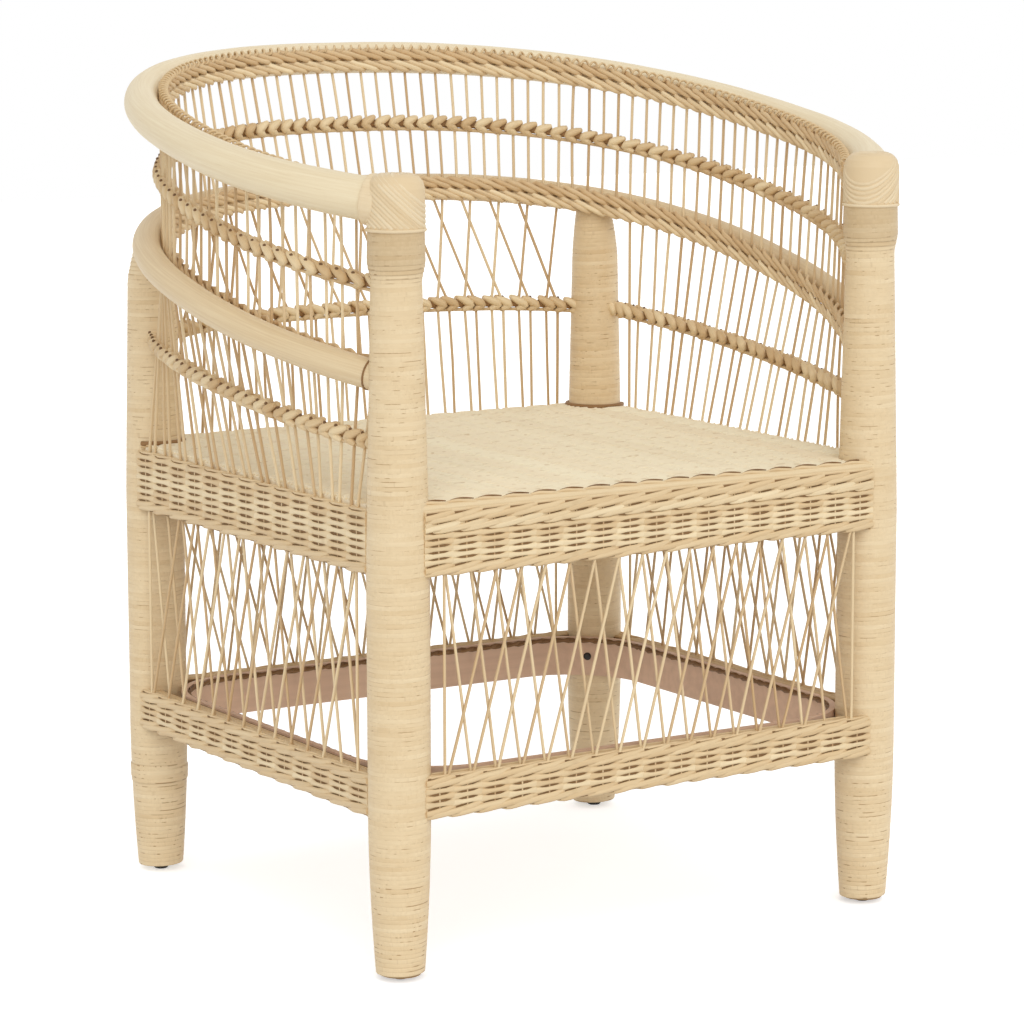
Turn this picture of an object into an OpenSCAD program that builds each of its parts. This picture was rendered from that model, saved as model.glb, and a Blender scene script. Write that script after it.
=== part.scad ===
// Cane tub armchair: four bound posts, two bent rails, two flat hoops,
// stake walls held by rope bands, woven aprons and bands, crossed lattices.
// Lengths are in millimetres. The front faces -Y and the floor is Z = 0.

/* [Posts] */
// Distance between the axes of a left and a right post
post_span = 510; // [440:1:580]
// Distance between the axes of a front and a rear post
post_depth = 469; // [400:1:540]
// Radius of the bare cane inside a post's binding, where it is thickest
core_r = 24.7; // [20:0.1:26]
// Thickness of the fine binding round a post
wrap_t = 3.3; // [2:0.1:5]
// How much slimmer a post is at its foot
foot_slim = 6.6; // [0:0.1:9]
// Height up to which a post is slimmer towards its foot
foot_h = 150; // [100:1:200]
// How much slimmer a post is at the height of the top rail
top_slim = 7; // [0:0.1:9]
// Height from which a post is slimmer towards its top
slim_z = 380; // [300:1:450]
// How far the collar under a front knuckle stands out
collar_t = 3.4; // [0.5:0.1:5]
// Height of the collar under a front knuckle
collar_h = 36; // [20:1:60]
// Radius of the glide under each foot
glide_r = 7; // [5:0.5:11]
// Height of the glide under each foot
glide_h = 4; // [3:0.5:8]

/* [Top rail] */
// Height of the top rail's middle over the front posts
top_z = 685.9; // [640:1:720]
// Rise of the top rail for each mm towards the back
top_rise = 0.173; // [0.1:0.005:0.24]
// How far the top rail bulges past the posts at each side
top_bulge = 79; // [60:1:95]
// Where it is widest, measured back from the front posts
top_wide_at = 202.6; // [170:1:230]
// How far the top rail runs out behind the rear posts
top_behind = 103.1; // [85:1:125]
// Squareness of the back of the top rail, 2 is an ellipse
top_square = 2.31; // [2:0.02:2.8]
// Straight length of the top rail before each front post
top_run = 30; // [26:1:40]
// Radius of the top rail at the middle of the back
top_r = 15.7; // [13:0.1:19]
// How much thicker the top rail is at its front ends
top_swell = 4.1; // [0:0.1:5]

/* [Middle rail] */
// Height of the middle rail over the front posts
mid_z = 532.3; // [510:1:560]
// Rise of the middle rail for each mm towards the back
mid_rise = 0.229; // [0.18:0.005:0.26]
// How far the middle rail bulges past the posts at each side
mid_bulge = 72.4; // [62:1:86]
// Where it is widest, measured back from the front posts
mid_wide_at = 232.6; // [205:1:255]
// How far the middle rail runs out behind the rear posts
mid_behind = 66.3; // [54:1:78]
// Squareness of the back of the middle rail
mid_square = 2.46; // [2.2:0.02:2.8]
// Radius of the middle rail
mid_r = 13.5; // [11:0.1:15]

/* [Seat and woven bands] */
// Height of the top of the seat
seat_z = 423; // [380:1:450]
// Thickness of the seat's woven panel
seat_t = 5; // [3:0.5:9]
// Height of the woven apron under the seat
apron_h = 55; // [40:1:80]
// Height of the lower band's bottom edge over the floor
band_z = 147; // [140:1:200]
// Height of the lower band
band_h = 36; // [24:1:50]
// Thickness of the lips that a woven board turns in to its hoop
lip_t = 3; // [2:0.5:6]
// How far the woven boards stand back from the outside of the posts
board_back = 3.5; // [0:0.5:6]
// Radius of the rope along the seat's front edge
border_r = 4; // [2.5:0.1:5]
// Number of slats under the seat
slat_count = 5; // [3:1:8]
// Width of a slat
slat_w = 34; // [20:1:50]
// Thickness of a slat
slat_t = 12; // [8:0.5:16]

/* [Flat hoops] */
// Thickness of the flat bar
bar_t = 6; // [4:0.5:8]
// Height of the flat bar
bar_h = 40; // [24:1:50]
// How far the lower hoop reaches below the lower band
bar_drop = 2; // [0:0.5:8]
// Radius of a hoop screw's shank
screw_r = 2; // [1.5:0.1:3]
// Radius of a hoop screw's head
screw_head_r = 4; // [3:0.1:6]
// How deep the screws and pins go into the cane
screw_grip = 14; // [8:0.5:16]

/* [Cane strands] */
// Number of upright stakes in the upper wall
stake_count = 90; // [70:1:110]
// Radius of a stake
stake_r = 1.45; // [1:0.05:1.8]
// Radius of the braid ropes along the rails
rope_r = 5.2; // [3.5:0.1:6]
// Half the depth of each rope of a knot band
knot_r = 3.6; // [2.5:0.1:5]
// Height of a knot band
knot_h = 15; // [9:0.5:20]
// How far back the stakes' feet on the middle rail shift at its sides
foot_shift = 15; // [0:1:25]
// How far the two stakes of a pair are drawn together at the seat
pair_draw = 2.5; // [0:0.5:5]
// Radius of a lattice strand
strand_r = 1.4; // [1:0.05:1.6]
// Gap between a post's binding and the upright strand beside it
strand_gap = 10.8; // [6:0.2:16]
// Lattice columns between the front posts
front_cells = 17; // [9:1:23]
// Lattice columns along each side
side_cells = 13; // [7:1:19]

/* [Fits] */
// Gap between a piece and the post or rail that it meets
fit = 0.2; // [0.1:0.05:0.4]
// Gap beside a stake, a strand or a rope
lay = 0.1; // [0.05:0.05:0.3]

/* [Hidden] */
wrap_r = core_r + wrap_t;
x_post = post_span / 2;
// The middle of the whole chair's depth stands on Y = 0.
centre = (top_behind + top_r - wrap_r) / 2;
y_front = -post_depth / 2 - centre;
y_rear = post_depth / 2 - centre;
steps = 40;
top_rings = 64;
mid_rings = 60;
rope_rings = 56;

// Heights that follow from the ones above.
apron_top = seat_z - seat_t;
apron_z = apron_top - apron_h;
band_top = band_z + band_h;
low_bar_z = band_z - bar_drop;
seat_bar_z = apron_top - slat_t - bar_h;
collar_top = top_z - top_r - top_swell - 3.3;
collar_z = collar_top - collar_h;
collar_r = wrap_r - slim(collar_z) + collar_t;

// The woven boards are as thick as two crossed layers of strands. These are
// distances out from the planes of the axes.
weave_t = 4 * strand_r + 2 * lay;
face = wrap_r - board_back;
board_in = face - weave_t;
strand_at = face - weave_t / 2;
seat_edge = strand_at - stake_r - 4 * lay;
seat_front = face - 2 * border_r - lay;
hoop_fit = fit;
// A hoop's corner is round enough to pass inside the bound post.
corner_r = (wrap_r + hoop_fit + bar_t) / (sqrt(2) - 1);

// Half of a rail's plan from the middle of the back to the right front post.
function half_plan(bulge, wide_at, behind, square, run) =
    let (w = x_post + bulge)
    let (y_wide = y_front + wide_at)
    let (y_back = y_rear + behind)
    let (turn = 2 * atan2(bulge, wide_at + run))
    let (reach = bulge / sin(turn) - run)
    let (r = reach / tan(turn / 2))
    concat(
        [for (i = [0:steps])
            [w * pow(sin(90 * i / steps), 2 / square),
             y_wide + (y_back - y_wide) * pow(cos(90 * i / steps), 2 / square)]],
        [for (i = [1:12])
            [w - r + r * cos(turn * i / 12), y_wide - r * sin(turn * i / 12)]],
        run > 0 ? [[x_post, y_front]] : []
    );

// A half mirrored and lifted: the whole rail from left front to right front.
function whole(half, z, rise) =
    concat(
        [for (i = [len(half) - 1:-1:1]) lifted([-half[i].x, half[i].y], z, rise)],
        [for (p = half) lifted(p, z, rise)]
    );

function lifted(p, z, rise) = [p.x, p.y, z + rise * (p.y - y_front)];

// The distance from the start to each point of a path.
function lengths(path) =
    [for (i = 0, s = 0; i < len(path); s = s + gap(path, i), i = i + 1) s];

function gap(path, i) = i < len(path) - 1 ? norm(path[i + 1] - path[i]) : 0;

function slot(s, run, low, high) =
    high - low <= 1 ? low
    : run[floor((low + high) / 2)] <= s ? slot(s, run, floor((low + high) / 2), high)
    : slot(s, run, low, floor((low + high) / 2));

// The point of a path at a distance along it.
function along(path, run, s) =
    let (i = slot(s, run, 0, len(path) - 1))
    path[i] + (path[i + 1] - path[i]) * (s - run[i]) / (run[i + 1] - run[i]);

function unit(v) = v / norm(v);

// The level direction that points to the inner side of a path at a distance.
function inward(path, run, s) =
    let (last = run[len(run) - 1])
    let (d = along(path, run, min(s + 4, last - 0.01)) - along(path, run, max(s - 4, 0)))
    unit([-d.y, d.x, 0]) * -1;

// The distance along a path at which it passes a point most closely.
function nearest(path, run, p) =
    let (away = [for (q = path) norm([q.x, q.y] - p)])
    run[search(min(away), away)[0]];

top_path = whole(half_plan(top_bulge, top_wide_at, top_behind, top_square, top_run),
    top_z, top_rise);
top_len = lengths(top_path);
top_end = top_len[len(top_len) - 1];
mid_path = whole(half_plan(mid_bulge, mid_wide_at, mid_behind, mid_square, 0),
    mid_z, mid_rise);
mid_len = lengths(mid_path);
mid_end = mid_len[len(mid_len) - 1];

function top_radius(s) =
    let (k = max(0, (abs(2 * s / top_end - 1) - 0.3) / 0.7))
    top_r + top_swell * k * k;

// A closed tube along points, each with its own radius. Its section stands
// on end along the given directions and may be taller than it is deep.
module tube(points, radii, sides, stands = [], tall = 1) {
    n = len(points);
    ways = [for (i = [0:n - 1])
        unit(points[min(i + 1, n - 1)] - points[max(i - 1, 0)])];
    rings = [for (i = [0:n - 1])
        let (side = unit(cross(ways[i], len(stands) > 0 ? stands[i] : [0, 0, 1])))
        let (up = cross(side, ways[i]) * tall)
        for (k = [0:sides - 1])
            points[i] + radii[i] * (cos(360 * k / sides) * side
                + sin(360 * k / sides) * up)];
    walls = [for (i = [0:n - 2])
        for (k = [0:sides - 1])
            let (a = i * sides + k)
            let (b = i * sides + (k + 1) % sides)
            for (t = [[a, b, b + sides], [a, b + sides, a + sides]]) t];
    first = [for (k = [1:sides - 2]) [0, k + 1, k]];
    last = [for (k = [1:sides - 2]) [0, k, k + 1] + (n - 1) * sides * [1, 1, 1]];
    polyhedron(rings, concat(walls, first, last), convexity = 6);
}

// A round rod between two points.
module rod(a, b, r) {
    d = b - a;
    translate(a)
        rotate([0, acos(d.z / norm(d)), atan2(d.y, d.x)])
            cylinder(h = norm(d), r = r, $fn = 20);
}

module at_posts(rear) {
    for (side = [-1, 1])
        translate([side * x_post, rear ? y_rear : y_front, 0])
            children();
}

// A slab that keeps what lies between two heights.
module slab(low, high) {
    translate([-post_span, y_front - post_span, low])
        cube([2 * post_span, 3 * post_span, high - low]);
}

// Frame: posts, bindings, glides, rails, knuckles and pins

// How much slimmer a post is at a height than where it is thickest.
function slim(z) =
    z < foot_h ? foot_slim * pow(1 - z / foot_h, 1.8)
    : z > slim_z ? top_slim * (z - slim_z) / (top_z - slim_z)
    : 0;

// The outline of a post or its binding between two heights, as radius and
// height, with a radius of r where the post is thickest.
function outline(r, low, high) =
    concat(
        [for (k = [0:4])
            let (z = low + (foot_h - low) * k / 4)
            [r - slim(z), z]],
        [[r, slim_z], [r - slim(high), high]]
    );

function backwards(v) = [for (i = [len(v) - 1:-1:0]) v[i]];

module core(top) {
    difference() {
        rotate_extrude($fn = 48)
            polygon(concat([[0, glide_h]], outline(core_r, glide_h, top), [[0, top]]));
        translate([0, 0, glide_h - 1])
            cylinder(h = glide_shank + 1 + fit, r = screw_r + fit, $fn = 20);
    }
}
glide_shank = 18;

// The top rail's straight end, which each front post is coped to.
function top_way() = unit(along(top_path, top_len, top_end - 1)
    - along(top_path, top_len, top_end - top_run + 4));
rail_past = 7;

module rail_end(side, r, past) {
    way = top_way();
    mirror([side < 0 ? 1 : 0, 0, 0])
        rod([x_post, y_front, top_z] - way * top_run * 1.4,
            [x_post, y_front, top_z] + way * past, r);
}

module post_front(side) {
    difference() {
        translate([side * x_post, y_front, 0])
            core(top_z - core_r / 2);
        rail_end(side, top_r + top_swell + fit, 3 * core_r);
        translate([side * x_post, y_front, top_z - 3 * screw_grip])
            cylinder(h = 3 * screw_grip, r = pin_r + fit, $fn = 20);
        rod(mid_pin(side, -1), mid_pin(side, 1), screw_r + fit);
        hoop_bores(side, -1);
    }
}

// Where the middle rail passes a rear post, and how far above its foot.
corner_s = nearest(mid_path, mid_len, [-x_post, y_rear]);
corner_p = along(mid_path, mid_len, corner_s);
rear_top = corner_p.z - mid_r;
// A rear post reaches this far up the sides of the rail that it carries.
saddle = 5;

module post_rear(side) {
    difference() {
        translate([side * x_post, y_rear, 0])
            core(rear_top + saddle);
        mirror([side > 0 ? 1 : 0, 0, 0])
            corner_groove();
        translate([side * rear_pin.x, rear_pin.y, rear_top - screw_grip])
            cylinder(h = 2 * screw_grip, r = screw_r + fit, $fn = 20);
        hoop_bores(side, 1);
    }
}

// A short length of the middle rail, a little fat, over the left rear post.
module corner_groove() {
    middle = round(mid_rings * corner_s / mid_end);
    tube([for (i = [middle - 3:middle + 3]) mid_ring(i)],
        [for (i = [-3:3]) (mid_r + fit) / cos(180 / 12)], 12);
}

function mid_ring(i) = along(mid_path, mid_len, mid_end * i / mid_rings);

// The pin of a rear post stands between the post's axis and the rail's.
rear_pin = let (c = [x_post, y_rear])
    let (d = [-corner_p.x, corner_p.y] - c)
    c + unit(d) * min(norm(d) - 2, core_r - 2 * screw_r);

module post_front_left() { color("tan") post_front(-1); }
module post_front_right() { color("tan") post_front(1); }
module post_rear_left() { color("tan") post_rear(-1); }
module post_rear_right() { color("tan") post_rear(1); }

module binding(high, upper, top) {
    rotate_extrude($fn = 48)
        polygon(concat(outline(wrap_r, glide_h + 1, high), upper,
            backwards(outline(core_r + fit, glide_h + 1, top))));
}

module binding_front(side) {
    difference() {
        translate([side * x_post, y_front, 0])
            binding(collar_z, [[collar_r, collar_z + 3], [collar_r, collar_top]], collar_top);
        rod(mid_pin(side, -1), mid_pin(side, 1), screw_r + fit);
        hoop_bores(side, -1);
    }
}

module binding_rear(side) {
    mirror([side < 0 ? 1 : 0, 0, 0])
        difference() {
            translate([x_post, y_rear, 0])
                binding(rear_top + saddle, [], rear_top + saddle);
            mirror([1, 0, 0])
                corner_groove();
            hoop_bores(1, 1);
        }
}

module binding_front_left() { color("wheat") binding_front(-1); }
module binding_front_right() { color("wheat") binding_front(1); }
module binding_rear_left() { color("wheat") binding_rear(-1); }
module binding_rear_right() { color("wheat") binding_rear(1); }

module foot_glides() {
    color("dimgray")
        for (rear = [false, true])
            at_posts(rear) {
                rotate_extrude($fn = 32)
                    polygon([
                        [0, 0], [glide_r - 1, 0], [glide_r, 1],
                        [glide_r, glide_h], [screw_r, glide_h],
                        [screw_r, glide_h + glide_shank], [0, glide_h + glide_shank]
                    ]);
            }
}

module top_rail() {
    points = concat(
        [[-x_post, y_front, top_z] + mirrored(top_way()) * rail_past],
        [for (i = [1:top_rings - 1]) along(top_path, top_len, top_end * i / top_rings)],
        [[x_post, y_front, top_z] + top_way() * rail_past]
    );
    radii = [for (i = [0:top_rings]) top_radius(top_end * i / top_rings)];
    color("burlywood")
        difference() {
            tube(points, radii, 16);
            for (side = [-1, 1])
                translate([side * x_post, y_front, top_z - 3 * screw_grip])
                    cylinder(h = 3 * screw_grip + pin_r, r = pin_r + fit, $fn = 20);
        }
}

function mirrored(v) = [-v.x, v.y, v.z];

module mid_rail() {
    color("burlywood")
        difference() {
            tube([for (i = [0:mid_rings]) mid_ring(i)],
                [for (i = [0:mid_rings]) mid_r], 16);
            at_posts(false)
                cylinder(h = 2 * top_z, r = wrap_r - slim(mid_z - mid_r) + fit, $fn = 48);
            for (side = [-1, 1]) {
                rod(mid_pin(side, -1), mid_pin(side, 1), screw_r + fit);
                translate([side * rear_pin.x, rear_pin.y, rear_top - screw_grip])
                    cylinder(h = screw_grip + mid_r, r = screw_r + fit, $fn = 20);
            }
        }
}

// A pin along the middle rail's end, from inside the front post.
mid_way = unit(along(mid_path, mid_len, mid_end - 1)
    - along(mid_path, mid_len, mid_end - 12));

function mid_pin(side, k) =
    let (p = [x_post, y_front, mid_z] - mid_way * (k > 0 ? wrap_r + 2 * screw_grip : -core_r / 2))
    side < 0 ? mirrored(p) : p;

pin_r = 4;

module rail_pins() {
    color("peru") {
        at_posts(false)
            translate([0, 0, top_z - 3 * screw_grip + 1])
                cylinder(h = 3 * screw_grip + pin_r - 2, r = pin_r, $fn = 20);
        for (side = [-1, 1]) {
            rod(mid_pin(side, -1), mid_pin(side, 1), screw_r);
            translate([side * rear_pin.x, rear_pin.y, rear_top - screw_grip + 1])
                cylinder(h = screw_grip + mid_r - 2, r = screw_r, $fn = 20);
        }
    }
}

// The bound knuckle over a front post and the rail's end.
knuckle_run = 26;
knuckle_wall = 2.2;

module knuckle(side) {
    rail_r = top_r + top_swell;
    top = top_z + rail_r + 6.5;
    difference() {
        union() {
            translate([side * x_post, y_front, 0])
                rotate_extrude($fn = 48)
                    polygon([
                        [0, collar_top], [collar_r - 0.5, collar_top],
                        [collar_r - 0.5, top - 13], [collar_r - 2.2, top - 7],
                        [collar_r - 6, top - 2.6], [collar_r - 11, top - 0.4], [0, top]
                    ]);
            rail_end_sleeve(side, rail_r + knuckle_wall);
        }
        rail_end(side, rail_r + fit, rail_past + fit);
        translate([side * x_post, y_front, collar_top - 1])
            cylinder(h = top_z - collar_top, r = core_r - slim(collar_top) + fit, $fn = 48);
    }
}

module rail_end_sleeve(side, r) {
    way = top_way();
    mirror([side < 0 ? 1 : 0, 0, 0])
        rod([x_post, y_front, top_z] - way * knuckle_run,
            [x_post, y_front, top_z], r);
}

module knuckle_left() { color("tan") knuckle(-1); }
module knuckle_right() { color("tan") knuckle(1); }

// Flat hoops, screws and slats

// Half widths of the hoops' inner faces, which lie on the post axes.
module ring_plan(out) {
    r = corner_r + out;
    x = x_post - corner_r;
    y = post_depth / 2 - corner_r;
    translate([0, -centre]) {
        square([2 * x, 2 * (y + r)], center = true);
        square([2 * (x + r), 2 * y], center = true);
        for (a = [-1, 1])
            for (b = [-1, 1])
                translate([a * x, b * y])
                    circle(r = r, $fn = 96);
    }
}

module hoop(z) {
    difference() {
        translate([0, 0, z])
            linear_extrude(bar_h)
                difference() {
                    ring_plan(bar_t);
                    ring_plan(0);
                }
        for (a = [-1, 1])
            for (b = [-1, 1])
                hoop_bore(a, b, z + bar_h / 2, screw_r + fit);
    }
}

// A screw's way from a hoop's inner face at a corner into the post's core.
function hoop_turn(a, b) = atan2(b, a);

module hoop_bore(a, b, z, r) {
    reach = corner_r * (sqrt(2) - 1);
    translate([a * x_post, (b > 0 ? y_rear : y_front), z])
        rotate([0, 0, hoop_turn(a, b)])
            translate([-reach - 1, 0, 0])
                rotate([0, 90, 0])
                    cylinder(h = 1 + reach - core_r + screw_grip, r = r, $fn = 20);
}

module hoop_bores(a, b) {
    for (z = [low_bar_z, seat_bar_z])
        hoop_bore(a, b, z + bar_h / 2, screw_r + fit);
}

module lower_hoop() { color("rosybrown") hoop(low_bar_z); }
module seat_hoop() { color("rosybrown") hoop(seat_bar_z); }

module hoop_screws() {
    reach = corner_r * (sqrt(2) - 1);
    color("dimgray")
        for (z = [low_bar_z, seat_bar_z])
            for (a = [-1, 1])
                for (b = [-1, 1])
                    translate([a * x_post, (b > 0 ? y_rear : y_front), z + bar_h / 2])
                        rotate([0, 0, hoop_turn(a, b)])
                            translate([-reach, 0, 0])
                                rotate([0, 90, 0])
                                    rotate_extrude($fn = 20)
                                        polygon([
                                            [0, -2], [screw_head_r * 0.6, -2],
                                            [screw_head_r, -0.6], [screw_head_r, -0.2],
                                            [screw_r, -0.2], [screw_r, reach - core_r + screw_grip - 2],
                                            [0, reach - core_r + screw_grip]
                                        ]);
}

module seat_slats() {
    long = post_depth + 2 * bar_t;
    first = -x_post + corner_r + slat_w / 2;
    step = -2 * first / (slat_count - 1);
    color("peru")
        for (i = [0:slat_count - 1])
            translate([first + i * step - slat_w / 2, -centre - long / 2, seat_bar_z + bar_h])
                cube([slat_w, long, slat_t]);
}

// Seat, aprons and bands

// What a flat or upright woven piece leaves free round a post.
module post_clear(rear, r) {
    at_posts(rear)
        translate([0, 0, 2 * glide_h])
            cylinder(h = top_z, r = r + fit, $fn = 48);
}

module seat_panel() {
    color("antiquewhite")
        difference() {
            translate([-x_post - seat_edge, y_front - seat_front, apron_top])
                cube([post_span + 2 * seat_edge, post_depth + seat_edge + seat_front, seat_t]);
            for (a = [-1, 1])
                for (y = [y_front, y_rear]) {
                    translate([a * x_post, y, 0])
                        cylinder(h = top_z, r = wrap_r + fit, $fn = 48);
                    translate([a * (x_post + wrap_r), y + (y > y_front ? wrap_r : -wrap_r), seat_z])
                        cube([2 * wrap_r, 2 * wrap_r, 4 * seat_t], center = true);
                }
        }
}

module seat_border() {
    color("tan")
        difference() {
            translate([0, y_front - face + border_r, apron_top + border_r])
                rotate([0, 90, 0])
                    cylinder(h = post_span, r = border_r, center = true, $fn = 24);
            post_clear(false, wrap_r);
        }
}

// A woven board with lips that reach in to the hoop, along X, facing +Y.
module board(long, z, h) {
    lip_in = bar_t + hoop_fit;
    rotate([90, 0, 90])
        linear_extrude(long, center = true)
            polygon([
                [face, z], [face, z + h], [lip_in, z + h],
                [lip_in, z + h - lip_t], [board_in, z + h - lip_t],
                [board_in, z + lip_t], [lip_in, z + lip_t], [lip_in, z]
            ]);
}

module weave_front(z, h) {
    difference() {
        translate([0, y_front, 0])
            mirror([0, 1, 0])
                board(post_span, z, h);
        post_clear(false, wrap_r);
    }
}

module weave_side(a, z, h) {
    difference() {
        translate([a * x_post, -centre, 0])
            rotate([0, 0, -a * 90])
                board(post_depth, z, h);
        post_clear(false, wrap_r);
        post_clear(true, wrap_r);
    }
}

module weave_back(z, h) {
    difference() {
        translate([0, y_rear, 0])
            board(post_span, z, h);
        post_clear(true, wrap_r);
    }
}

module apron_front() { color("wheat") weave_front(apron_z, apron_h); }
module apron_left() { color("wheat") weave_side(-1, apron_z, apron_h); }
module apron_right() { color("wheat") weave_side(1, apron_z, apron_h); }
module apron_back() { color("wheat") weave_back(apron_z, apron_h); }
module band_front() { color("wheat") weave_front(band_z, band_h); }
module band_left() { color("wheat") weave_side(-1, band_z, band_h); }
module band_right() { color("wheat") weave_side(1, band_z, band_h); }
module band_back() { color("wheat") weave_back(band_z, band_h); }

// Lattices

// One side's crossed strands, along X and facing +Y: one layer leans a
// column to the left over its height and the other two to the right.
module lattice(long, cells, z_low, z_high) {
    edge = sqrt(pow(wrap_r + strand_gap + strand_r, 2) - pow(strand_at + strand_r, 2));
    first = -long / 2 + edge + 2 * strand_r + lay;
    pitch = -2 * first / cells;
    outer = strand_at + strand_r + lay / 2;
    inner = strand_at - strand_r - lay / 2;
    intersection() {
        union() {
            for (k = [0:cells - 2])
                leaner(first + k * pitch, first + (k + 2) * pitch, outer, z_low, z_high);
            for (k = [1:cells])
                leaner(first + k * pitch, first + (k - 1) * pitch, inner, z_low, z_high);
            for (x = [-long / 2 + edge, long / 2 - edge])
                leaner(x, x, outer, z_low, z_high);
        }
        slab(z_low, z_high);
    }
}

// A strand from x_high on the upper piece to x_low on the lower one.
module leaner(x_high, x_low, y, z_low, z_high) {
    high = [x_high, y, z_high];
    low = [x_low, y, z_low];
    rod(low - unit(high - low) * 4, high + unit(high - low) * 4, strand_r);
}

module lattice_front() {
    color("tan")
        translate([0, y_front, 0])
            rotate([0, 0, 180])
                lattice(post_span, front_cells, band_top, apron_z);
}

module lattice_back() {
    color("tan")
        translate([0, y_rear, 0])
            lattice(post_span, front_cells, band_top, apron_z);
}

module lattice_side(a) {
    color("tan")
        translate([a * x_post, -centre, 0])
            rotate([0, 0, -a * 90])
                lattice(post_depth, side_cells, band_top, apron_z);
}

module lattice_left() { lattice_side(-1); }
module lattice_right() { lattice_side(1); }

// Stake walls

// The first stake stands this far along the rails from a front post's axis.
stake_from = wrap_r + stake_r + 5 * lay;
// Upper and lower stakes meet behind the middle braid, this far apart.
stake_end = 1;

function rail_inner(path, run, s, off, drop) =
    along(path, run, s) + inward(path, run, s) * off - [0, 0, drop];

function top_s(i) = stake_from + (top_end - 2 * stake_from) * i / (stake_count - 1);

function top_point(i) =
    rail_inner(top_path, top_len, top_s(i), top_radius(top_s(i)) + stake_r + lay, 0);

function mid_s(i) =
    let (share = i / (stake_count - 1))
    stake_from + (mid_end - 2 * stake_from) * share + foot_shift * sin(360 * share);

// The top of a lower stake, beside the middle rail.
function mid_point(i, drop) =
    rail_inner(mid_path, mid_len, mid_s(i), mid_r + stake_r + lay, drop);

// The foot of an upper stake, far enough in for a leaning stake to clear
// the rail.
function upper_foot(i, drop) =
    rail_inner(mid_path, mid_len, mid_s(i), lean_off(i, mid_r + stake_r + lay, 3), drop);

function lean_off(i, off, tries) =
    tries == 0 ? off
    : let (s = mid_s(i))
    let (foot = rail_inner(mid_path, mid_len, s, off, 0))
    lean_off(i, (mid_r + stake_r + lay) * leaning(top_point(i) - foot, mid_path, mid_len, s),
        tries - 1);

// How many times further a line that leans like d must stand off a path.
function leaning(d, path, run, s) =
    let (way = along(path, run, min(s + 1, run[len(run) - 1] - 0.01))
        - along(path, run, max(s - 1, 0)))
    let (c = cross(d, way))
    norm(c) / abs(c * inward(path, run, s));

// The stakes that stand left of the left rear post along the middle rail.
mid_pitch = (mid_end - 2 * stake_from) / (stake_count - 1);
side_last = max([for (i = [0:stake_count / 2]) if (mid_s(i) < corner_s - wrap_r - 4) i]);
back_first = min([for (i = [0:stake_count / 2]) if (mid_s(i) > corner_s + wrap_r + 4) i]);
back_last = stake_count - 1 - back_first;

// The seat edge's point under a stake, before pairs are drawn together.
function edge_line(i) =
    i > (stake_count - 1) / 2 ? mirrored(edge_line(stake_count - 1 - i))
    : i <= side_last ? [-x_post - strand_at,
        y_front + stake_from + (post_depth - 2 * stake_from) * i / side_last, apron_top]
    : i < back_first ? edge_line(side_last) + (edge_line(back_first) - edge_line(side_last))
        * (i - side_last) / (back_first - side_last)
    : [-x_post + stake_from + (post_span - 2 * stake_from) * (i - back_first)
        / (back_last - back_first), y_rear + strand_at, apron_top];

function edge_point(i) =
    i > (stake_count - 1) / 2 ? mirrored(edge_point(stake_count - 1 - i))
    : i <= side_last ? edge_line(i) + [0, draw(i), 0]
    : edge_line(i) + [draw(i - back_first), 0, 0];

function draw(i) = pair_draw * (1 - 2 * (i % 2));

// Where a lower stake passes between the ropes of its knot band.
function knot_point(i) = (edge_point(i) + mid_point(i, 0)) / 2;

module upper_stakes(from, to) {
    color("tan")
        for (i = [from:to])
            rod(upper_foot(i, -stake_end), top_point(i), stake_r);
}

// A point just over the apron from which a leaning stake's rim touches it.
function footing(a, d) = a + d * stake_r * sqrt(1 - d.z * d.z) / d.z;

module lower_stakes(from, to) {
    color("tan")
        for (i = [from:to])
            let (a = edge_point(i))
            let (b = mid_point(i, stake_end))
            rod(footing(a, unit(b - a)), b, stake_r);
}

// The lower stakes of the back cross over their knot band: every other one
// moves one place to the left and the ones between three to the right.
module crossing_stakes() {
    last = back_last - back_first;
    color("tan")
        for (j = [0:last])
            if (j % 2 == 1)
                crossing_stake(back_first + j, back_first + j - 1, -1);
            else if (j + 3 <= last)
                crossing_stake(back_first + j, back_first + j + 3, 1);
}

// A point of the lower wall above its knot band, at a place counted in
// stakes and a share of the way from the band to the middle rail.
function wall(i, t) = (edge_line(i) * (1 - t) + mid_point(i, 0) * (1 + t)) / 2;

// The direction that points inward, square to the lower wall.
function wall_in(i, t) =
    unit(cross(wall(i + 0.2, t) - wall(i - 0.2, t), mid_point(i, 0) - edge_line(i)));

// A stake from the middle rail at place i to the seat at place k, on the
// outer or inner layer where it crosses others.
module crossing_stake(i, k, layer) {
    top = mid_point(i, stake_end);
    knot = knot_point(k);
    foot = edge_point(k);
    rise = norm(top - knot);
    shares = [(knot_h / 2 + 1) / rise, 0.19, 0.75, 1 - (2 * rope_r + 2) / rise];
    bent = [for (n = [0:3])
        let (t = shares[n])
        let (at = k + (i - k) * t)
        wall(at, t) + (knot - wall(k, 0)) * (1 - t)
            - wall_in(at, t) * (n % 3 == 0 ? 0 : layer * (stake_r + lay))];
    tube(concat([footing(foot, unit(knot - foot)), knot], bent, [top]),
        [for (n = [0:6]) stake_r], 6, [for (n = [0:6]) wall_in(i, 1)]);
}

module upper_stakes_left() { upper_stakes(0, side_last); }
module upper_stakes_back() { upper_stakes(side_last + 1, stake_count - 2 - side_last); }
module upper_stakes_right() { upper_stakes(stake_count - 1 - side_last, stake_count - 1); }
module lower_stakes_left() { lower_stakes(0, side_last); }
module lower_stakes_back() { crossing_stakes(); }
module lower_stakes_right() { lower_stakes(stake_count - 1 - side_last, stake_count - 1); }

// Ropes

// How far a rope runs on past its first and last stake.
rope_past = 4;

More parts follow.
